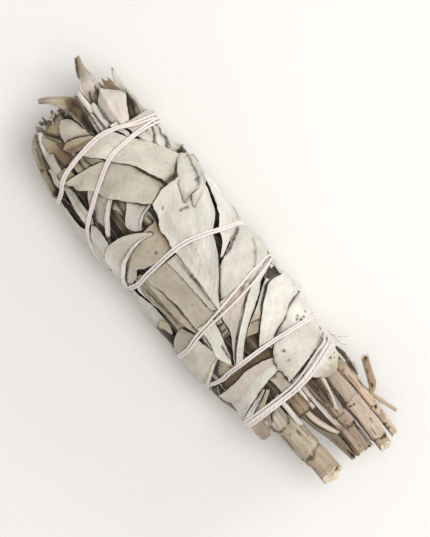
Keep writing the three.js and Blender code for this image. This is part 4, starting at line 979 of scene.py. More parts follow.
def layInside(rng):
    # Narrow leaves along the inside, painted dark as the shade in the gaps, and brown.
    for i in range(innerLeaves["count"]):
        girth = i / innerLeaves["count"] * fullGirth
        start, end = rng.uniform(*innerLeaves["starts"]), rng.uniform(*innerLeaves["ends"])
        lean = rng.uniform(-4, 4)
        width = rng.uniform(*innerLeaves["width"])
        bend = rng.uniform(-2, 2)
        depth = innerLeaves["depth"] + 0.7 * (i * 7 % 3)
        layLeaf({
            "spine": [(girth, start), (girth + lean / 2 + bend, (start + end) / 2), (girth + lean, end)],
            "widths": [width, width, width * 0.5],
            "layer": leafWays["topLayer"] - depth / leafWays["layerStep"],
            "step": innerLeaves["step"],
            "tone": innerLeaves["tones"][i % 2],
        }, "inner_leaves")


def layCrumbs(rng):
    for i in range(tipCrumbs["count"]):
        x = rng.uniform(tipCrumbs["from"][0], tipCrumbs["to"][0])
        along = rng.uniform(tipCrumbs["from"][1], tipCrumbs["to"][1])
        angle = rng.uniform(-1.2, 1.2)
        long, wide = rng.uniform(*tipCrumbs["long"]), rng.uniform(*tipCrumbs["wide"]) / 2
        dx, dy = math.sin(angle), math.cos(angle)
        margins = []
        for sign in (-1, 1):
            aside = (-sign * dy * wide, sign * dx * wide)
            margins.append([
                (x + aside[0] * 0.5, along + aside[1] * 0.5),
                (x + dx * long / 2 + aside[0], along + dy * long / 2 + aside[1]),
                (x + dx * long, along + dy * long),
            ])
        height = rng.uniform(*tipCrumbs["heights"])
        layLeaf({
            "edgeA": margins[1], "edgeB": margins[0],
            "heights": [height - 0.6, height, height + rng.uniform(-0.4, 0.8)],
            "tone": tipCrumbs["tones"][i % len(tipCrumbs["tones"])], "step": 0.2, "crumple": 2.0,
        }, "tip_leaves")


def layerOf(leaf):
    return leaf["layer"]


def layAll():
    draw = seeded(92017)
    lower = lowerLeaves(lowerRows, draw)
    rings = [ringLeaves(ring, draw) for ring in tipRings]
    bases = ringLeaves(baseRing, draw)
    loose = np.random.default_rng(31)
    layInside(loose)
    for ring in reversed(rings):
        for leaf in ring:
            layLeaf(leaf, "tip_ring_leaves")
    for leaf in bases:
        layLeaf(leaf, "stem_end_leaves")
    for leaf in sorted(lower, key=layerOf):
        onRight = leaf["spine"][1][0] < lowerRows["middle"]
        layLeaf(leaf, "lower_leaves_right" if onRight else "lower_leaves_left")
    for leaf in tipLeaves:
        layLeaf(leaf, "tip_leaves")
    for leaf in stemEndLeaves:
        layLeaf(leaf, "stem_end_leaves")
    layCrumbs(loose)
    for leaf in sorted(upperLeaves, key=layerOf):
        middle = leaf["edgeA"][len(leaf["edgeA"]) // 2][1]
        part = "tip" if middle > 9 else "stem" if middle < -10 else "middle"
        layLeaf(leaf, "upper_leaves_" + part)
    layLeaf(endFlap, "stem_end_leaves")


layAll()
print("leaves laid:", len(laidLeaves))


def toFrame(points):
    shifted = np.asarray(points, float).copy()
    shifted[..., 0] -= bunch["middle"][0]
    shifted[..., 1] -= bunch["middle"][1]
    return shifted * 0.001


def solidSheet(outer, inner):
    # Points and faces of a closed blade between two grids of points.
    rows, columns = outer.shape[:2]
    count = rows * columns
    at = np.arange(count).reshape(rows, columns)
    quads = np.stack([at[:-1, :-1], at[:-1, 1:], at[1:, 1:], at[1:, :-1]], -1).reshape(-1, 4)
    border = np.concatenate([at[0, :-1], at[:-1, -1], at[-1, :0:-1], at[:0:-1, 0]])
    following = np.roll(border, -1)
    wall = np.stack([following, border, border + count, following + count], -1)
    faces = np.concatenate([quads, quads[:, ::-1] + count, wall])
    return np.concatenate([outer.reshape(-1, 3), inner.reshape(-1, 3)]), faces


def tubeFaces(rows, sides):
    # Faces of a closed tube of rings of points.
    at = np.arange(rows * sides).reshape(rows, sides)
    right = np.roll(at, -1, axis=1)
    faces = np.stack([at[:-1], at[1:], right[1:], right[:-1]], -1).reshape(-1, 4).tolist()
    return faces + [at[0].tolist(), at[-1, ::-1].tolist()]


def linked(name, data):
    made = bpy.data.objects.new(name, data)
    bpy.context.scene.collection.objects.link(made)
    return made


def makeObject(name, stoodFor, parts, material):
    # One object from parts of points, faces and the values at each point.
    points = np.concatenate([part["points"] for part in parts])
    offsets = np.cumsum([0] + [len(part["points"]) for part in parts])
    faces = []
    for part, offset in zip(parts, offsets.tolist()):
        faces += [[i + offset for i in face] for face in part["faces"]]
    mesh = bpy.data.meshes.new(name)
    mesh.from_pydata(toFrame(points).tolist(), [], faces)
    mesh.validate()
    for key, kind, field in (
        ("paint", "FLOAT_COLOR", "color"), ("place", "FLOAT_VECTOR", "vector"), ("wear", "FLOAT", "value")
    ):
        values = np.concatenate([part[key] for part in parts]).astype(np.float32)
        if key == "paint":
            values = np.column_stack([values, np.ones(len(values), np.float32)])
        mesh.attributes.new(key, kind, "POINT").data.foreach_set(field, values.ravel())
    mesh.polygons.foreach_set("use_smooth", [True] * len(mesh.polygons))
    mesh.materials.append(material)
    made = linked(name, mesh)
    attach(made, "root")
    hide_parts(stoodFor)
    return made


finalTop = top - pull
finalNear = blurred(finalTop, 0.38)  # averages over a fine and a coarse neighbourhood
finalSmooth = blurred(finalTop, 1.6)


def underMargin(laid):
    # How much of the close surroundings lies higher and belongs to another leaf, from 0 to 1.
    reach, share = leafWays["lineReach"], 0
    for angle in np.arange(8) * math.pi / 4:
        j, i = cell(laid["girth"] + reach * math.cos(angle), laid["along"] + reach * math.sin(angle))
        share = share + ((upper[j, i] != laid["number"]) & (top[j, i] > laid["radius"] + 0.03)) / 8
    return share


def blend(first, second, share):
    return first * (1 - share[..., None]) + second * share[..., None]


def shadowsOn(laid, reach):
    # Where the leaf lies in a hollow, under other leaves, or beside a higher one, each from 0 to 1.
    girth, along = laid["girth"], laid["along"]
    hollow = fade(sample(finalSmooth, girth, along) - reach, 0.05, 1.1)
    covered = fade(sample(finalTop, girth, along) - reach, 0.25, 0.7)
    meeting = fade(sample(finalNear, girth, along) - reach, 0.12, 0.4)
    if "heights" in laid["leaf"]:
        hollow, covered, meeting = hollow * 0.3, covered * 0.35, meeting * 0.6
    shaded = 1 - 0.75 * fade(np.abs(along), *leafWays["open"])
    return hollow * shaded, covered * shaded, meeting * shaded


def colourWithPaintedLight(laid, tones, u, v):
    # The leaf's colour, which may change along it and at its ends, with painted light and shade on the two
    # sides of a fold and a painted highlight on rolled margins.
    leaf, rng, length = laid["leaf"], laid["rng"], laid["dist"][-1]
    toneAndLight = tones[leaf.get("tone", leafWays["tone"])] + 0 * u[..., None] + 0 * v[..., None]
    # Painted light and shade: one side of a fold toned lighter or darker.
    if "toneB" in leaf:
        split = leaf.get("ridge", (0.0, 0))[0]
        toneAndLight = blend(toneAndLight, tones[leaf["toneB"]], fade(laid["side"], split - 0.08, split + 0.08))
    if "tones" in leaf:
        at = u / length + 0.02 * ripple(rng, v / 1.5, u / 3)
        shares = [share for share, _ in leaf["tones"]]
        stops = np.array([tones[name] for _, name in leaf["tones"]])
        toneAndLight = np.stack([np.interp(at, shares, stops[:, k]) for k in range(3)], -1)
    # End tones paint browned ends, and painted shadow bands where an end lies against another leaf.
    for end, away in (("startTone", u), ("endTone", length - u)):
        if end in leaf:
            name, reach = leaf[end]
            wavy = away + 0.3 * ripple(rng, v / 2, u / 2)
            toneAndLight = blend(toneAndLight, tones[name], 1 - fade(wavy, 0, reach) + 0 * v)
    # Painted highlight: rolled margins lightened towards white.
    return blend(toneAndLight, tones["white"], np.clip(laid["rolled"] / 0.5, 0, 1) * 0.55)


def darkLineAway(laid, start, end):
    # Distance to a line of the cracks and shadow lines; a leaf that lies on the bunch carries it round the
    # flank.
    if "heights" in laid["leaf"]:
        return awayFrom(laid["x"], laid["along"], start, end)
    x, along = np.array([start, end]).T
    around = roundBunch(laid["leaf"], x, along)
    return awayFrom(laid["girth"], laid["along"], (around[0], along[0]), (around[1], along[1]))


def leafPaint(laid, reach):
    leaf, rng = laid["leaf"], laid["rng"]
    u, v = laid["dist"][:, None], laid["across"]
    tones = {name: linear(colour) for name, colour in leafTones.items()}
    hollow, covered, meeting = shadowsOn(laid, reach)
    toneAndLight = colourWithPaintedLight(laid, tones, u, v)
    isTorn = leaf.get("torn", 0) > 0 or leaf.get("ragged", 0) > 0
    dry = np.exp(-(laid["dist"][-1] - u) / 1.4) * (0.4 if isTorn else 0.15)
    dry = dry + np.exp(-laid["edge"] / 0.2) * 0.14
    shade = toneAndLight * (1 + 0.06 * ripple(rng, u / 9, v / 6, 5)[..., None])
    mottle = 0.5 + 0.5 * ripple(rng, u / 6, v / 4)
    # Painted shade: hollows and covered parts are browned, together with the real browning of mottled and dry
    # parts.
    browningAndShade = np.clip(0.1 * mottle + dry + 0.5 * hollow + 0.5 * covered, 0, 1)
    paint = blend(shade, tones["brown"], browningAndShade)
    # Painted shade in hollows, under other leaves and beside higher ones, and a painted shadow line under the
    # margin of a higher leaf.
    under = fade(underMargin(laid), 0.04, 0.42) * (0.52 + 0.3 * ripple(rng, u / 7, v / 7, 5))
    paintedShade = np.clip(0.75 * hollow ** 1.2 + 0.6 * covered + 0.7 * meeting + under, 0, 0.94)
    paint = blend(paint, tones["dark"], paintedShade)
    for x, along, size in leaf.get("specks", []):
        away = np.hypot(laid["x"] - x, laid["along"] - along) + 0.08 * ripple(rng, u, v, 4)
        paint = blend(paint, tones["dark"], 0.85 * (1 - fade(away, size * 0.6, size * 1.5)))
    # Dark lines of the cracks and shadow lines: real cracks, and painted shadows along the margin of a leaf
    # that lies over this one.
    for width, start, end in stretches(leaf.get("cracks", [])):
        away = darkLineAway(laid, start, end) + 0.06 * ripple(rng, u, v, 4)
        strength = min(1.0, width / leafWays["darkLineWidth"])
        wide = max(leafWays["darkLineWidth"], width)
        paint = blend(paint, tones["dark"], 0.85 * strength * (1 - fade(away, 0.25 * wide, 1.3 * wide)))
    return paint


def leafPart(laid):
    girth, along, radius = laid["girth"], laid["along"], laid["radius"]
    angle = girth / bunch["girthRadius"]
    outer = placed(girth, along, radius)
    normal = np.cross(np.gradient(outer, axis=1), np.gradient(outer, axis=0))
    normal /= np.linalg.norm(normal, axis=-1, keepdims=True) + 1e-9
    away = np.stack([np.sin(angle), 0 * girth, np.cos(angle)], -1)
    outwards = 1 if (normal * away).sum() > 0 else -1
    toEnd = np.minimum(laid["dist"], laid["dist"][-1] - laid["dist"])[:, None]
    deep = np.clip(np.minimum(laid["edge"], toEnd) / leafWays["rimWidth"], 0, 1)
    thick = leafWays["rim"] + (leafWays["thickness"] - leafWays["rim"]) * deep
    points, faces = solidSheet(outer, outer - outwards * normal * thick[..., None])
    if outwards < 0:
        faces = faces[:, ::-1]
    paint = leafPaint(laid, radius - sample(pull, girth, along))
    u, v = laid["dist"][:, None], laid["across"]
    place = np.stack([u + 0 * v, v, 0 * v + laid["rng"].uniform(0, 90)], -1)
    # Nearness to the margin, for paler felt and a painted highlight at the leaf's edges.
    wear = np.exp(-laid["edge"] / 0.3)
    return {
        "points": points, "faces": faces.tolist(), "paint": np.tile(paint.reshape(-1, 3), (2, 1)),
        "place": np.tile(place.reshape(-1, 3), (2, 1)), "wear": np.tile(wear.ravel(), 2),
    }


class Wire:
    # One socket of a material's nodes, for writing shader maths as sums.
    def __init__(self, tree, socket):
        self.tree = tree
        self.socket = socket

    @classmethod
    def node(cls, tree, kind, settings, values, out=0):
        made = tree.nodes.new(kind)
        for name, value in settings.items():
            if name == "stops":
                ramp = made.color_ramp
                for at, colour in value[1:-1]:
                    ramp.elements.new(at).color = (*colour, 1)
                for element, (at, colour) in ((ramp.elements[0], value[0]), (ramp.elements[-1], value[-1])):
                    element.position = at
                    element.color = (*colour, 1)
            else:
                setattr(made, name, value)
        for name, value in values.items():
            if isinstance(value, Wire):
                tree.links.new(value.socket, made.inputs[name])
            else:
                made.inputs[name].default_value = value
        return cls(tree, made.outputs[out] if made.outputs else None)

    def maths(self, operation, first, second):
        return Wire.node(self.tree, "ShaderNodeMath", {"operation": operation}, {0: first, 1: second})

    def __add__(self, other):
        return self.maths("ADD", self, other)

    __radd__ = __add__

    def __sub__(self, other):
        return self.maths("SUBTRACT", self, other)

    def __rsub__(self, other):
        return self.maths("SUBTRACT", other, self)

    def __mul__(self, other):
        return self.maths("MULTIPLY", self, other)

    __rmul__ = __mul__

    def __pow__(self, other):
        return self.maths("POWER", self, other)


def newMaterial(name):
    material = bpy.data.materials.new(name)
    material.use_nodes = True
    material.node_tree.nodes.clear()
    return material, material.node_tree


def attribute(tree, name, out):
    return Wire.node(tree, "ShaderNodeAttribute", {"attribute_name": name}, {}, out)


def scaled(tree, vector, factors):
    return Wire.node(tree, "ShaderNodeVectorMath", {"operation": "MULTIPLY"}, {0: vector, 1: factors})


def noise(tree, vector, scale, detail=4.0, roughness=0.55):
    values = {"Vector": vector, "Scale": scale, "Detail": detail, "Roughness": roughness}
    return Wire.node(tree, "ShaderNodeTexNoise", {}, values)


def spread(tree, value, low, high):
    # A value from low to high, spread over 0 to 1.
    values = {"Value": value, "From Min": low, "From Max": high}
    return Wire.node(tree, "ShaderNodeMapRange", {"interpolation_type": "SMOOTHSTEP"}, values)


def tint(tree, blend, factor, first, second):
    settings = {"data_type": "RGBA", "blend_type": blend}
    return Wire.node(tree, "ShaderNodeMix", settings, {0: factor, 6: first, 7: second}, 2)


def surface(tree, colour, roughness, bumps, constants):
    # The surface's shader, with bumps as (strength, distance in metres, height) from coarse to fine.
    values = {"Base Color": colour, "Roughness": roughness, **constants}
    relief = {}
    for strength, distance, height in bumps:
        sockets = {"Strength": strength, "Distance": distance, "Height": height, **relief}
        relief = {"Normal": Wire.node(tree, "ShaderNodeBump", {}, sockets)}
    shader = Wire.node(tree, "ShaderNodeBsdfPrincipled", {}, {**values, **relief})
    Wire.node(tree, "ShaderNodeOutputMaterial", {}, {"Surface": shader})


def coloured(tree, paint, share, stops):
    # The painted colour, made darker and lighter by a ramp.
    ramp = Wire.node(tree, "ShaderNodeValToRGB", {"stops": stops}, {"Fac": share})
    return tint(tree, "MULTIPLY", 1.0, paint, ramp)


leafLook = {
    "shades": [(0.25, (0.80, 0.78, 0.74)), (0.5, (1, 1, 1)), (0.8, (1.14, 1.14, 1.12))],
    "veinGap": 1.1,  # between the fine veins, in millimetres
    "veinStrength": 0.07,
    "vein": (0.62, 0.56, 0.44, 1),
    "speckStrength": 0.35,
    "speck": (0.10, 0.075, 0.05, 1),
    "rimStrength": 0.5,
    "rim": (0.80, 0.77, 0.69, 1),
    "roughness": (0.86, 0.12),
}


def leafMaterial():
    material, tree = newMaterial("sage_leaf")
    place = attribute(tree, "place", 1)
    paint = attribute(tree, "paint", 0)
    wear = attribute(tree, "wear", 2)
    veinCell = Wire.node(
        tree, "ShaderNodeTexVoronoi", {"feature": "DISTANCE_TO_EDGE"},
        {"Vector": scaled(tree, place, (0.8, 1.0, 1.0)), "Scale": 1 / leafLook["veinGap"], "Randomness": 0.9},
    )
    veins = 1 - spread(tree, veinCell, 0.0, 0.16)
    cloud = noise(tree, place, 0.55, 5.0, 0.6)
    felt = noise(tree, place, 3.2, 4.0, 0.7)
    fine = noise(tree, place, 9.0, 3.0, 0.7)
    specks = spread(tree, noise(tree, place, 2.1, 3.0, 0.75), 0.66, 0.78)
    pale = spread(tree, felt, 0.35, 0.75)
    colour = coloured(tree, paint, cloud * 0.6 + felt * 0.4, leafLook["shades"])
    colour = tint(tree, "MULTIPLY", veins * leafLook["veinStrength"], colour, leafLook["vein"])
    colour = tint(tree, "MIX", specks * leafLook["speckStrength"], colour, leafLook["speck"])
    # Margins lightened: paler felt, and a painted highlight where the edges catch the light.
    colour = tint(tree, "MIX", wear * pale * leafLook["rimStrength"], colour, leafLook["rim"])
    low, more = leafLook["roughness"]
    bumps = [(0.35, 0.00008, 1 - veins), (0.5, 0.00008, felt), (0.35, 0.00003, fine)]
    sheen = {"Specular IOR Level": 0.18, "Sheen Weight": 0.25, "Sheen Roughness": 0.5}
    surface(tree, colour, low + felt * more, bumps, sheen)
    return material


sageLeaf = leafMaterial()
print("leaf material made")

for groupName in sorted({laid["group"] for laid in laidLeaves}):
    leafParts = [leafPart(laid) for laid in laidLeaves if laid["group"] == groupName]
    made = makeObject(groupName, "leaf_bunch", leafParts, sageLeaf)
    print(groupName, "faces:", len(made.data.polygons))


# The imported inside, painted dark as shade, seen only through the gaps.
packedCore = {
    "halfLength": 38.5, "rows": 78, "sides": 72,
    "depth": 3.6, "taper": (36.0, 38.6), "closed": 0.85,
}


def corePart():
    rows = np.linspace(-packedCore["halfLength"], packedCore["halfLength"], packedCore["rows"])
    girth, along = np.meshgrid(np.arange(packedCore["sides"]) * fullGirth / packedCore["sides"], rows)
    rng = np.random.default_rng(5)
    taper = 1 - fade(np.abs(along), *packedCore["taper"]) * packedCore["closed"]
    radius = (outline(along) - packedCore["depth"]) * taper + 0.35 * ripple(rng, girth / 5, along / 9, 9)
    count = radius.size
    return {
        "points": placed(girth, along, radius).reshape(-1, 3),
        "faces": [face[::-1] for face in tubeFaces(len(rows), packedCore["sides"])],
        # Painted shade: the core is dark all over.
        "paint": np.tile(linear(leafTones["dark"]), (count, 1)),
        "place": np.stack([along.ravel(), girth.ravel(), np.zeros(count)], -1),
        "wear": np.zeros(count),
    }


makeObject("packed_core", "leaf_bunch", [corePart()], sageLeaf)


stemWays = {
    "sides": 40,
    "step": 0.3,
    "square": 0.05,  # how square a stem's section is
    "groove": 0.05,
    "grooves": (3, 5, 7, 11, 13),
    "jag": 0.22,
    "capShares": [0.1, 0.3, 0.55, 0.8, 0.94, 1.0],  # rings of the cut face, as shares of its radius
    "innermost": (-43, -35),  # from here to here the stem's painted shade deepens inwards, into the bunch
    "cutTone": (248, 238, 214),
    "pithTone": (196, 172, 138),
    "markTone": (62, 48, 34),
}

# Each stem: rings of (x, along, z, radius) from its cut end inwards, and each line's own tone. Joints are
# (along, height, width). Bark has peeled off up to its edge in (x, along). Spots are (colour, then
# (x, along, size) of each), marks (width, point, point, ...): dark grooved lines on the upper side, at bark
# edges and splits, and painted shade along the stems' sides and the gaps between them. A cut leans back by
# slant, in millimetres, and a splinter is (turn, length).
stems = {
    "stem_left": {
        "lines": [[(-5.15, -58, 16.5, 2.95), (-5.4, -50.4, 17, 2.75), (-5.6, -49.4, 17, 2.8),
            (-5.95, -43, 17.6, 2.85), (-6.6, -20, 15.6, 2.4)]],
        "tones": [(178, 167, 147)], "slant": 2.6,
        "bark": {"edge": [(-9, -49.5), (-8.2, -49.7), (-7.4, -50.1), (-6.3, -50.9), (-5.3, -50.2),
            (-4.5, -49.4), (-3, -48.9), (-2, -48.8)], "depth": 0.3, "tone": (178, 160, 142)},
        "spots": [((120, 84, 52), (-3.7, -56.4, 0.55), (-3.2, -55.9, 0.35), (-3.8, -57.2, 0.3)),
            ((110, 88, 66), (-6.4, -49, 0.2)), ((120, 98, 76), (-5.6, -53.6, 0.14), (-7.2, -53.2, 0.14),
            (-4.4, -54.4, 0.14)), ((74, 58, 44), (-6.4, -50.5, 0.5))],
        "marks": [(0.22, (-8.1, -49.9), (-6.4, -51)), (0.28, (-6.4, -51), (-5.3, -50.2)),
            (0.16, (-5.3, -50.2), (-3, -48.9)), (0.1, (-8.3, -43), (-8.3, -47)),
            (0.12, (-3.8, -42.5), (-3.7, -46.4)), (0.06, (-6.9, -43.5), (-7, -46)),
            (0.06, (-5.2, -44), (-5.1, -48))],
    },
    "stem_middle": {
        "lines": [[(3.8, -57.3, 15, 2.3), (4.1, -51.6, 15.3, 2.1), (3.4, -44, 15.4, 1.9),
            (2.4, -20, 14.6, 1.7)]],
        "tones": [(168, 150, 134)], "slant": 0.4,
        "spots": [((90, 66, 46), (5.2, -57, 0.3), (3.1, -57.1, 0.2), (2.2, -57, 0.2), (4.2, -57.2, 0.15))],
        "marks": [(0.14, (2.3, -50), (2.2, -56.4)), (0.06, (3.6, -51), (3.6, -56)),
            (0.08, (5.6, -51), (5.5, -56)), (0.06, (4.6, -52), (4.5, -55)),
            (0.3, (5.9, -51.2), (5.9, -52.4))],
    },
    "stem_right": {
        "lines": [[(8.1, -59.9, 15.4, 1.7), (8.4, -52, 15.8, 1.85), (8.5, -47, 16, 2),
            (8.7, -45.8, 16.2, 1.7), (8.6, -20, 14.4, 1.6)]],
        "tones": [(192, 176, 159)], "slant": 1.3, "splinter": (0.5, 0.9), "joints": [(-46.8, 0.3, 0.6)],
        "bark": {"edge": [(6, -56.4), (6.9, -56.9), (7.8, -56.7), (8.6, -57.3), (9.6, -57), (10.8, -57.2)],
            "depth": 0.22, "tone": (182, 162, 144)},
        "spots": [((84, 58, 40), (9.3, -57.4, 0.45), (8.5, -57.2, 0.3), (10, -57.3, 0.3)),
            ((140, 120, 98), (9.2, -52.4, 0.22), (9, -53, 0.16)), ((90, 66, 46), (6.9, -56.6, 0.25)),
            ((200, 180, 150), (7.9, -59.2, 0.2))],
        "marks": [(0.08, (6.9, -47.5), (6.8, -55)), (0.05, (8.1, -48), (8, -56)),
            (0.14, (7.3, -39), (7.2, -45.4)), (0.1, (6.8, -46.5), (8.6, -46.3)),
            (0.05, (8.8, -40), (8.8, -45))],
    },
    "stem_edge": {
        "lines": [[(11.4, -58.6, 13.2, 0.85), (11.7, -52, 13.5, 1), (11.8, -46, 13.8, 1.1),
            (11.6, -39.5, 13.7, 1.2), (10.4, -23, 11.4, 0.95)], [(17, -40.7, 15.4, 0.85),
            (15.8, -43.6, 14.8, 0.85), (14.5, -46.7, 14.1, 0.85), (12.9, -48.2, 13.7, 0.55),
            (11.9, -49.4, 13.6, 0.5)], [(15, -54.8, 12.4, 0.45), (13.6, -50.4, 13.1, 0.45),
            (12.4, -46, 13.6, 0.45), (11.8, -43, 13.7, 0.4)]],
        "tones": [(200, 180, 158), (172, 152, 126), (186, 172, 152)],
        "joints": [(-40.4, 0.12, 0.35), (-46.2, 0.1, 0.3), (-51, 0.2, 0.45)],
        "spots": [((70, 52, 38), (11.9, -51.1, 0.4), (11.2, -50.6, 0.25)),
            ((60, 46, 34), (10.9, -55.4, 0.4), (11, -56.6, 0.3)), ((100, 76, 56), (12.3, -52.6, 0.2)),
            ((176, 156, 136), (11.6, -53.6, 0.9)), ((84, 62, 44), (16.9, -41.2, 0.4), (16.5, -41.9, 0.2),
            (14.3, -46.9, 0.4)), ((120, 98, 76), (15.6, -43.6, 0.14)), ((60, 46, 34), (12.4, -37.6, 0.3)),
            ((90, 66, 46), (11.2, -38.2, 0.2))],
        "marks": [(0.12, (10.9, -41), (10.8, -57)), (0.08, (12.6, -41), (12.5, -50)),
            (0.05, (11.6, -42), (11.7, -49.6)), (0.06, (16.3, -41.4), (14.1, -46.4)),
            (0.1, (10.8, -40.3), (12.8, -40.4))],
    },
    "stem_stub": {
        "lines": [[(-1.2, -42.2, 19.6, 1.75), (-1.2, -38, 19.4, 1.8), (-1.3, -26, 17.8, 1.7)]],
        "tones": [(164, 146, 122)], "broken": True,
        "marks": [(0.2, (-2.6, -37.5), (-2.6, -42)), (0.07, (-1.2, -37.5), (-1.3, -42)),
            (0.07, (-0.3, -37.5), (-0.2, -42)), (0.06, (-2, -38), (-1.9, -40.5))],
    },
    "stem_spur": {
        "lines": [[(5, -50.7, 18.9, 1.3), (4.9, -48.6, 19.1, 1.35), (4.6, -46.8, 19.2, 1.1),
            (4.6, -45, 19.2, 1.05), (4.9, -38, 18.9, 0.9), (5.1, -26, 17.6, 0.9)]],
        "tones": [(172, 153, 136)], "broken": True, "joints": [(-47.5, 0.15, 0.4)],
        "spots": [((60, 46, 34), (6.1, -50.5, 0.3)), ((110, 88, 66), (4.6, -49, 0.15))],
        "marks": [(0.16, (3.6, -47.3), (5.6, -47.4)), (0.14, (3.5, -48.6), (4.2, -50)),
            (0.16, (4.2, -50), (5.6, -50.6)), (0.05, (4.4, -45.6), (4.4, -47))],
    },
    "stem_curved": {
        "lines": [[(1.2, -57, 13.4, 0.95), (0.4, -50.4, 14.6, 1.2), (-1.1, -45, 15.4, 1.1),
            (-2.1, -38, 15.6, 0.95), (-2.3, -27, 15, 0.85)], [(1.6, -50.2, 16.6, 0.5),
            (0.8, -48.2, 17.2, 0.6), (-0.2, -45.4, 17.7, 0.68), (-0.7, -42.6, 17.8, 0.7),
            (-0.9, -36, 17.4, 0.6)]],
        "tones": [(146, 135, 116), (220, 206, 192)],
        "spots": [((70, 52, 38), (1, -56.2, 0.3))],
        "marks": [(0.16, (-1.5, -43), (-1.3, -45.5), (0.2, -48.8)), (0.14, (0.2, -48.8), (1.5, -50.4)),
            (0.3, (0.8, -54.6), (1.1, -57)), (0.2, (1.7, -51), (1.8, -56)), (0.06, (0, -51), (0.5, -54))],
    },
    "stem_under_left": {
        "lines": [[(-6, -52.5, 9.6, 2.2), (-6.4, -44, 9.8, 2.2), (-6.2, -22, 10, 1.9)]],
        "tones": [(166, 150, 128)],
    },
    "stem_under_middle": {
        "lines": [[(2.9, -54, 9.2, 2.3), (2.4, -44, 9.4, 2.3), (1.6, -22, 9.4, 2)]],
        "tones": [(170, 154, 130)],
    },
    "stem_under_right": {
        "lines": [[(8.6, -50.5, 10, 1.7), (8.4, -42, 10, 1.8), (7.6, -24, 10, 1.6)]],
        "tones": [(158, 142, 118)],
    },
    "stem_lowest": {
        "lines": [[(0.6, -47.5, 4.9, 1.8), (-0.2, -41, 4.9, 1.9), (-0.6, -24, 5.2, 1.7)]],
        "tones": [(166, 148, 124)],
    },
}


def stemLine(rings):
    # Rings along the stem with the rings of its cut face, and their directions.
    caps = stemWays["capShares"]
    line, dist = smoothLine(rings, stemWays["step"], 3)
    line = np.vstack([np.repeat(line[:1], len(caps), 0), line[1:]])
    dist = np.append(np.zeros(len(caps)), dist[1:])[:, None]
    shares = np.append(caps, np.ones(len(line) - len(caps)))[:, None]
    tangent = np.gradient(line[:, :3], axis=0)
    tangent[: len(caps)] = line[len(caps), :3] - line[0, :3]
    tangent /= np.linalg.norm(tangent, axis=1)[:, None]
    side = np.cross((0, 0, 1), tangent)
    side /= np.linalg.norm(side, axis=1)[:, None]
    return line, dist, shares, tangent, side


def stemSection(stem, line, dist, uneven, turn, rng):
    # Radius of the stem's section: a little square and grooved, thicker at its joints.
    radius = line[:, 3:4] * (1 - stemWays["square"] * np.cos(4 * turn) * uneven)
    for k in stemWays["grooves"]:
        wander = rng.uniform(0, 6.3) + 0.5 * ripple(rng, dist[:, 0] / 14, 0, 3)[:, None]
        depth = stemWays["groove"] * rng.uniform(0.3, 0.8)
        radius = radius * (1 + depth * np.sin(k * turn + wander) * uneven)
    for at, height, width in stem.get("joints", []):
        radius = radius + height * hump(line[:, 1:2] - at, width)
    return radius


def cutSlide(stem, dist, shares, turn, first, rng):
    # How far each place of the cut end moves inwards, so that the cut is jagged and slanted.
    jag = stemWays["jag"] * ripple(rng, turn / 0.9, 0, 7) * np.exp(-dist / 1.2)
    dip = 0.3 * (1 - shares) + 0.12 * ripple(rng, shares * np.cos(turn) * 1.5, shares * np.sin(turn) * 1.5)
    dip = np.where(shares < 1, dip - 0.08, 0.0)
    lean = 0.5 * stem.get("slant", 0.0) * first * (1 + np.sin(turn) * shares) * np.exp(-dist / 2.2)
    slide = jag * shares ** 3 + dip + lean
    if "splinter" in stem:
        at, long = stem["splinter"]
        sharp = hump(turn - at, 0.4) * fade(shares, 0.5, 1.0)
        slide = slide - long * sharp * np.exp(-dist / 1.0)
    return slide


def stemPaint(stem, tone, line, dist, shares, turn, bare, dark, rng):
    onCut = dist == 0
    cut = np.where(dist < 0.01, 1.0, np.exp(-dist / 0.3)) + 0 * turn
    paint = linear(tone) * (1 + 0.09 * ripple(rng, turn / 1.1, dist / 16, 9)[..., None])
    paint = paint * (1 + 0.08 * ripple(rng, turn / 0.35, dist / 5, 9)[..., None])
    if "bark" in stem:
        paint = blend(paint, linear(stem["bark"]["tone"]), bare * 0.9)
    if stem.get("broken", False):
        dark = np.maximum(dark, 0.85 * hump(dist, 0.5))
    else:
        paint = blend(paint, linear(stemWays["cutTone"]), fade(cut, 0.5, 0.95) * 0.9)
        pith = (1 - fade(shares, 0.2, 0.45)) * onCut + 0.3 * hump(shares - 0.75, 0.1)
        paint = blend(paint, linear(stemWays["pithTone"]), 0.7 * pith + 0 * turn)
        dark = np.maximum(dark, 0.2 * hump(dist - 0.35, 0.25) * ~onCut)
    # Painted shade: the stem darkens where it goes into the bunch, and on its underside.
    inside = fade(line[:, 1:2], *stemWays["innermost"]) * 0.55 + 0 * turn
    below = 0.45 * fade(-np.sin(turn), 0.1, 0.9) * ~onCut
    for share in (inside, below):
        paint = blend(paint, linear(leafTones["dark"]), share)
    return blend(paint, linear(stemWays["markTone"]), dark), cut


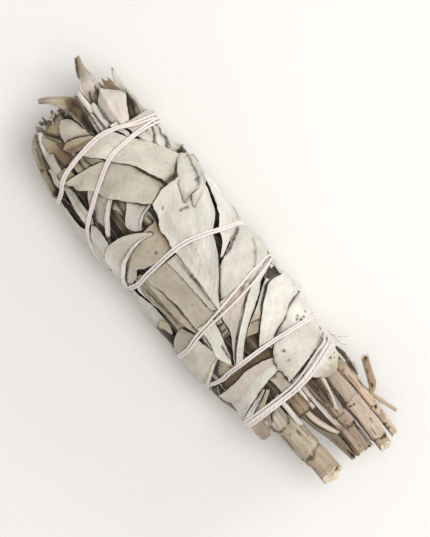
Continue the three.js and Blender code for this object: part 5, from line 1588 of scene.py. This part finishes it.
def stemPart(rings, stem, tone, rng, first):
    line, dist, shares, tangent, side = stemLine(rings)
    up = np.cross(tangent, side)
    turn = np.linspace(0, 2 * math.pi, stemWays["sides"], endpoint=False)[None, :]
    radius = stemSection(stem, line, dist, shares ** 3, turn, rng)
    x = line[:, 0:1] + side[:, 0:1] * np.cos(turn) * radius
    along = line[:, 1:2] + side[:, 1:2] * np.cos(turn) * radius
    upperSide = fade(np.sin(turn), -0.3, 0.2) + 0 * radius
    bare = rim = 0 * radius
    if "bark" in stem and first:
        edge = np.array(stem["bark"]["edge"])
        ragged = np.interp(x, edge[:, 0], edge[:, 1]) + 0.12 * ripple(rng, turn / 0.7, 0, 7)
        past = line[:, 1:2] - ragged
        bare = fade(-past, -0.05, 0.25)
        rim = hump(past + 0.28, 0.24)
        radius = radius - stem["bark"]["depth"] * bare + 0.1 * hump(past - 0.3, 0.5)
    dark = 0.85 * rim
    # Marks: grooved dark lines on the upper side, at bark edges and splits, and painted shade along a stem's
    # sides and the gaps beside it.
    for width, start, end in stretches(stem.get("marks", [])):
        away = awayFrom(x, along, start, end) + 0.05 * ripple(rng, x, along / 4, 4)
        shade = (1 - fade(away, 0.4 * width, 1.4 * width)) * upperSide
        radius = radius - 0.5 * width * shade
        dark = np.maximum(dark, 0.8 * shade)
    slide = cutSlide(stem, dist, shares, turn, first, rng)
    radius = radius * shares
    points = line[:, None, :3] + side[:, None] * (np.cos(turn) * radius)[..., None]
    points = points + up[:, None] * (np.sin(turn) * radius)[..., None] + tangent[:, None] * slide[..., None]
    paint, cut = stemPaint(stem, tone, line, dist, shares, turn, bare, dark, rng)
    for colour, *spots in stem.get("spots", []):
        for spotX, spotAlong, size in spots:
            away = np.hypot(points[..., 0] - spotX, points[..., 1] - spotAlong)
            away = away + 0.15 * ripple(rng, turn / 0.8, dist / 0.9, 7)
            paint = blend(paint, linear(colour), fade(size - away, -0.2, 0.15) * upperSide)
    place = np.stack([dist + 0 * radius, turn * line[:, 3:4], 0 * radius + rng.uniform(0, 90)], -1)
    return {
        "points": points.reshape(-1, 3), "faces": tubeFaces(len(line), stemWays["sides"]),
        "paint": paint.reshape(-1, 3), "place": place.reshape(-1, 3), "wear": cut.ravel(),
    }


barkLook = {
    "shades": [(0.28, (0.56, 0.50, 0.42)), (0.48, (0.96, 0.95, 0.92)), (0.75, (1.2, 1.19, 1.16))],
    "fibres": (0.22, 2.6, 1.0),  # how often along, round and through the stem
    "grain": (0.6, 0.52, 0.42, 1),
    "grainStrength": 0.4,
    "roughness": (0.82, 0.14),
}


def barkMaterial():
    material, tree = newMaterial("dry_bark")
    place = attribute(tree, "place", 1)
    paint = attribute(tree, "paint", 0)
    cut = attribute(tree, "wear", 2)
    fibres = noise(tree, scaled(tree, place, barkLook["fibres"]), 1.0, 5.0, 0.6)
    blotches = noise(tree, place, 0.5, 4.0, 0.6)
    grain = noise(tree, place, 5.0, 3.0, 0.7)
    colour = coloured(tree, paint, fibres * 0.65 + blotches * 0.35, barkLook["shades"])
    grained = spread(tree, grain, 0.55, 0.8) * barkLook["grainStrength"]
    colour = tint(tree, "MULTIPLY", grained, colour, barkLook["grain"])
    low, more = barkLook["roughness"]
    bumps = [(0.7, 0.00022, fibres * (1 - cut) + grain * cut * 0.6), (0.5, 0.00006, grain)]
    surface(tree, colour, low + grain * more, bumps, {"Specular IOR Level": 0.2})
    return material


dryBark = barkMaterial()
for number, (stemName, stem) in enumerate(stems.items()):
    stemRng = np.random.default_rng(50 + number)
    stemParts = []
    for rings, tone in zip(stem["lines"], stem["tones"]):
        stemParts.append(stemPart(rings, stem, tone, stemRng, float(not stemParts)))
    makeObject(stemName + "_bark", stemName, stemParts, dryBark)
print("stems made:", len(stems))


def headed(path):
    ahead = np.gradient(path, axis=0)
    return ahead / np.linalg.norm(ahead, axis=1)[:, None]


def threadPaths():
    # Both strands side by side, in [girth, along].
    heading = headed(windingLine)
    degrees = np.degrees(windingLine[:, 0] / bunch["girthRadius"])
    table = np.array(thread["spread"])
    run = np.arange(len(windingLine)) * thread["step"]
    apart = np.interp(degrees, table[:, 0], table[:, 1]) / 2
    apart = apart * (1 + 0.06 * ripple(np.random.default_rng(8), run / 9, 0))
    aside = np.column_stack([heading[:, 1], -heading[:, 0]]) * apart[:, None]
    return np.stack([windingLine - aside, windingLine + aside])


def reachUnder(path):
    # How far out the leaves and stems under a strand reach.
    ahead = headed(path)
    aside = np.column_stack([ahead[:, 1], -ahead[:, 0]])
    near = [sample(finalTop, *(path + aside * shift).T) for shift in (-0.25, 0.0, 0.25)]
    reach = np.mean(near, axis=0) * 0.5 + np.max(near, axis=0) * 0.5
    return np.maximum(reach, stemReach(path))


def tautRadius(paths):
    # Each strand pulled taut over the leaves, and over the earlier turns that it crosses.
    size, separate = thread["strandRadius"], thread["separate"]
    angleStep = np.abs(np.gradient(paths[0, :, 0])) / bunch["girthRadius"]
    floor = np.array([reachUnder(path) - thread["sink"] + size for path in paths])
    radii = relax(floor, angleStep)
    for strand in range(2):
        for i in range(separate + 20, paths.shape[1]):
            earlier = paths[:, : i - separate]
            dg = paths[strand, i, 0] - earlier[..., 0]
            dg = dg - np.round(dg / fullGirth) * fullGirth
            away = np.hypot(dg, paths[strand, i, 1] - earlier[..., 1])
            close = away < 2 * size
            if close.any():
                over = np.sqrt(np.maximum((2 * size) ** 2 - away[close] ** 2, 0))
                floor[strand, i] = max(floor[strand, i], (radii[:, : i - separate][close] + over).max())
    return relax(floor, angleStep)


def relax(floor, angleStep):
    # The radius of a taut thread over a floor, rounded where it bites into a high point.
    radii = floor.copy()
    bend = np.cos(angleStep[1:-1])
    for _ in range(thread["tautRounds"]):
        radii[:, 1:-1] = np.maximum(floor[:, 1:-1], (radii[:, :-2] + radii[:, 2:]) / 2 * bend)
    for _ in range(thread["biteRounds"]):
        middle = (radii[:, :-2] + 2 * radii[:, 1:-1] + radii[:, 2:]) / 4
        radii[:, 1:-1] = np.maximum(floor[:, 1:-1] - thread["bite"], middle)
    return radii


def stemReach(path):
    # How far the stems reach out under a strand.
    angle = path[:, 0] / bunch["girthRadius"]
    outX, outZ = np.sin(angle), bunch["flattening"] * np.cos(angle)
    far = np.zeros(len(path))
    for rings in [rings for stem in stems.values() for rings in stem["lines"]]:
        table = np.array(sorted(rings, key=lambda ring: ring[1]))
        x, z, r = (np.interp(path[:, 1], table[:, 1], table[:, k]) for k in (0, 2, 3))
        up = z - bunch["axisHeight"]
        a = outX ** 2 + outZ ** 2
        b = outX * x + outZ * up
        inside = b ** 2 - a * (x ** 2 + up ** 2 - r ** 2)  # over 0 where the way out meets the stem
        there = (inside > 0) & (path[:, 1] >= table[0, 1]) & (path[:, 1] <= table[-1, 1])
        hit = (b + np.sqrt(np.maximum(inside, 0))) / a
        far = np.maximum(far, np.where(there, hit, 0))
    return far


def around(girth, along, radius):
    angle = girth / bunch["girthRadius"]
    height = bunch["axisHeight"] + bunch["flattening"] * radius * np.cos(angle)
    return np.stack([radius * np.sin(angle), along, np.maximum(height, thread["strandRadius"] + 0.03)], -1)


def strandPart(points, rng):
    # One twisted strand of two plies along a line of points.
    tangent = headed(points)
    out = points - np.array([0, 0, bunch["axisHeight"]])
    out[:, 1] = 0
    side = np.cross(tangent, out)
    side /= np.linalg.norm(side, axis=1)[:, None]
    up = np.cross(side, tangent)
    run = np.append(0, np.cumsum(np.linalg.norm(np.diff(points, axis=0), axis=1)))[:, None]
    turn = np.linspace(0, 2 * math.pi, thread["sides"], endpoint=False)[None, :]
    ply = turn - run * 2 * math.pi / thread["twist"]
    grooves = 0.5 - 0.5 * np.cos(2 * ply)
    uneven = 0.05 * ripple(rng, run / 2.3, turn / 3)
    radius = thread["strandRadius"] * (1 - thread["plyDepth"] * grooves + uneven)
    radius[[0, -1]] *= 0.35  # the ends are drawn to a point
    grid = points[:, None] + side[:, None] * (np.cos(turn) * radius)[..., None]
    grid = grid + up[:, None] * (np.sin(turn) * radius)[..., None]
    place = np.stack([run + 0 * turn, (ply % (2 * math.pi)) * thread["strandRadius"], 0 * ply], -1)
    return {
        "points": grid.reshape(-1, 3), "faces": tubeFaces(len(points), thread["sides"]),
        "paint": np.tile(linear(thread["colour"]), (grid.shape[0] * grid.shape[1], 1)),
        "place": place.reshape(-1, 3), "wear": grooves.ravel(),
    }


def knotPart(centre, girth, rng):
    # A small overhand knot that lies on the leaves.
    outward = np.array([math.sin(girth / bunch["girthRadius"]), 0, math.cos(girth / bunch["girthRadius"])])
    forward = np.array([0.0, 1.0, 0.0])
    sideways = np.cross(outward, forward)
    u = np.linspace(0, 2 * math.pi, 90)[:, None]
    loops = forward * 0.75 * np.sin(2 * u) + sideways * (0.55 * np.cos(2 * u) + 0.25 * np.cos(u))
    return strandPart(centre + (loops + outward * 0.34 * np.sin(3 * u)), rng)


def tailPart(tail, knotHeight, rng):
    way = smoothLine([(x, y, 0) for x, y, _ in tail], 0.3, 2)[0]
    share = np.linspace(0, 1, len(way))
    lift = np.interp(share, np.linspace(0, 1, len(tail)), [height for _, _, height in tail])
    way[:, 2] = knotHeight + lift - thread["tailDrop"]
    return strandPart(way, rng)


def allThread():
    paths = threadPaths()
    radii = tautRadius(paths)
    rng = np.random.default_rng(12)
    parts = [strandPart(around(*path.T, radius), rng) for path, radius in zip(paths, radii)]
    girth = math.radians(thread["knot"][0]) * bunch["girthRadius"]
    centre = around(girth, thread["knot"][1], radii[:, 0].mean() + thread["knotRise"])
    parts.append(knotPart(centre, girth, rng))
    return parts + [tailPart(tail, centre[2], rng) for tail in thread["tails"]]


cottonLook = {
    "warm": (0.92, 0.84, 0.82, 1),
    # groove: painted shade between the two plies
    "groove": (0.74, 0.66, 0.63, 1),
    "fibre": (0.8, 0.75, 0.72, 1),
    "strengths": (0.35, 0.45, 0.3),
    "fibres": (2.0, 9.0, 1.0),  # how often along, round and through the strand
}


def cottonMaterial():
    material, tree = newMaterial("cotton")
    place = attribute(tree, "place", 1)
    paint = attribute(tree, "paint", 0)
    grooves = attribute(tree, "wear", 2)
    fibres = noise(tree, scaled(tree, place, cottonLook["fibres"]), 1.0, 3.0, 0.6)
    patches = noise(tree, place, 0.25, 2.0, 0.5)
    warm, deep, fine = cottonLook["strengths"]
    colour = tint(tree, "MULTIPLY", spread(tree, patches, 0.35, 0.7) * warm, paint, cottonLook["warm"])
    # Painted shade in the grooves between the two plies.
    colour = tint(tree, "MULTIPLY", grooves * deep, colour, cottonLook["groove"])
    colour = tint(tree, "MULTIPLY", spread(tree, fibres, 0.5, 0.75) * fine, colour, cottonLook["fibre"])
    bumps = [(0.6, 0.00008, fibres)]
    surface(tree, colour, 0.8 + fibres * 0.1, bumps, {"Specular IOR Level": 0.25, "Sheen Weight": 0.3})
    return material


makeObject("cotton_strands", "cotton_thread", allThread(), cottonMaterial())
print("thread made")


studio = {
    "floorSize": 1.5,  # half its width, in metres
    "floorColour": (0.88, 0.87, 0.85, 1),
    "floorCloud": (0.7, 0.7, 0.7, 1),
    "worldColour": (1.0, 0.972, 0.94, 1),
    "worldStrength": 0.49,
    "lamps": {  # power, colour, place and size of each soft box
        "key": (2.6, (0.98, 0.992, 1.0), (0.745, -0.10, 0.26), 0.35),
        "overhead": (2.9, (1.0, 0.995, 0.985), (0.09, -0.12, 0.7), 0.4),
    },
    "lens": 180.0,
    "sensor": 24.0,
    "viewHeight": 0.1193,  # of the frame, at the plane through the upper leaves
    "plane": 0.018,
    "target": (0.00217, -0.00066),
    "turn": -38.99,
}


def makeFloor():
    mesh = bpy.data.meshes.new("floor")
    size = studio["floorSize"]
    corners = [(-size, -size, 0), (size, -size, 0), (size, size, 0), (-size, size, 0)]
    mesh.from_pydata(corners, [], [(0, 1, 2, 3)])
    material, tree = newMaterial("floor_paper")
    cloud = noise(tree, Wire.node(tree, "ShaderNodeTexCoord", {}, {}, 3), 60.0, 3.0, 0.5)
    colour = tint(tree, "MULTIPLY", cloud * 0.03, studio["floorColour"], studio["floorCloud"])
    surface(tree, colour, 0.9, [(0.05, 0.0002, cloud)], {"Specular IOR Level": 0.1})
    mesh.materials.append(material)
    linked("floor", mesh)


def makeLights():
    world = bpy.data.worlds.new("studio")
    world.use_nodes = True
    background = world.node_tree.nodes["Background"]
    background.inputs["Color"].default_value = studio["worldColour"]
    background.inputs["Strength"].default_value = studio["worldStrength"]
    bpy.context.scene.world = world
    for name, (power, colour, place, size) in studio["lamps"].items():
        lamp = bpy.data.lights.new(name, "AREA")
        lamp.energy = power
        lamp.color = colour
        lamp.size = size
        box = linked(name, lamp)
        box.location = place
        box.rotation_euler = (-Vector(place)).to_track_quat("-Z", "Y").to_euler()


def makeCamera():
    lens = bpy.data.cameras.new("camera")
    lens.lens = studio["lens"]
    lens.sensor_fit = "VERTICAL"
    lens.sensor_height = studio["sensor"]
    lens.clip_start = 0.01
    lens.clip_end = 10
    camera = linked("camera", lens)
    distance = studio["viewHeight"] * studio["lens"] / studio["sensor"]
    camera.location = (*studio["target"], studio["plane"] + distance)
    camera.rotation_euler = (0, 0, math.radians(studio["turn"]))
    bpy.context.scene.camera = camera
    bpy.context.scene.view_settings.view_transform = "Standard"


makeFloor()
makeLights()
makeCamera()
print("studio made")
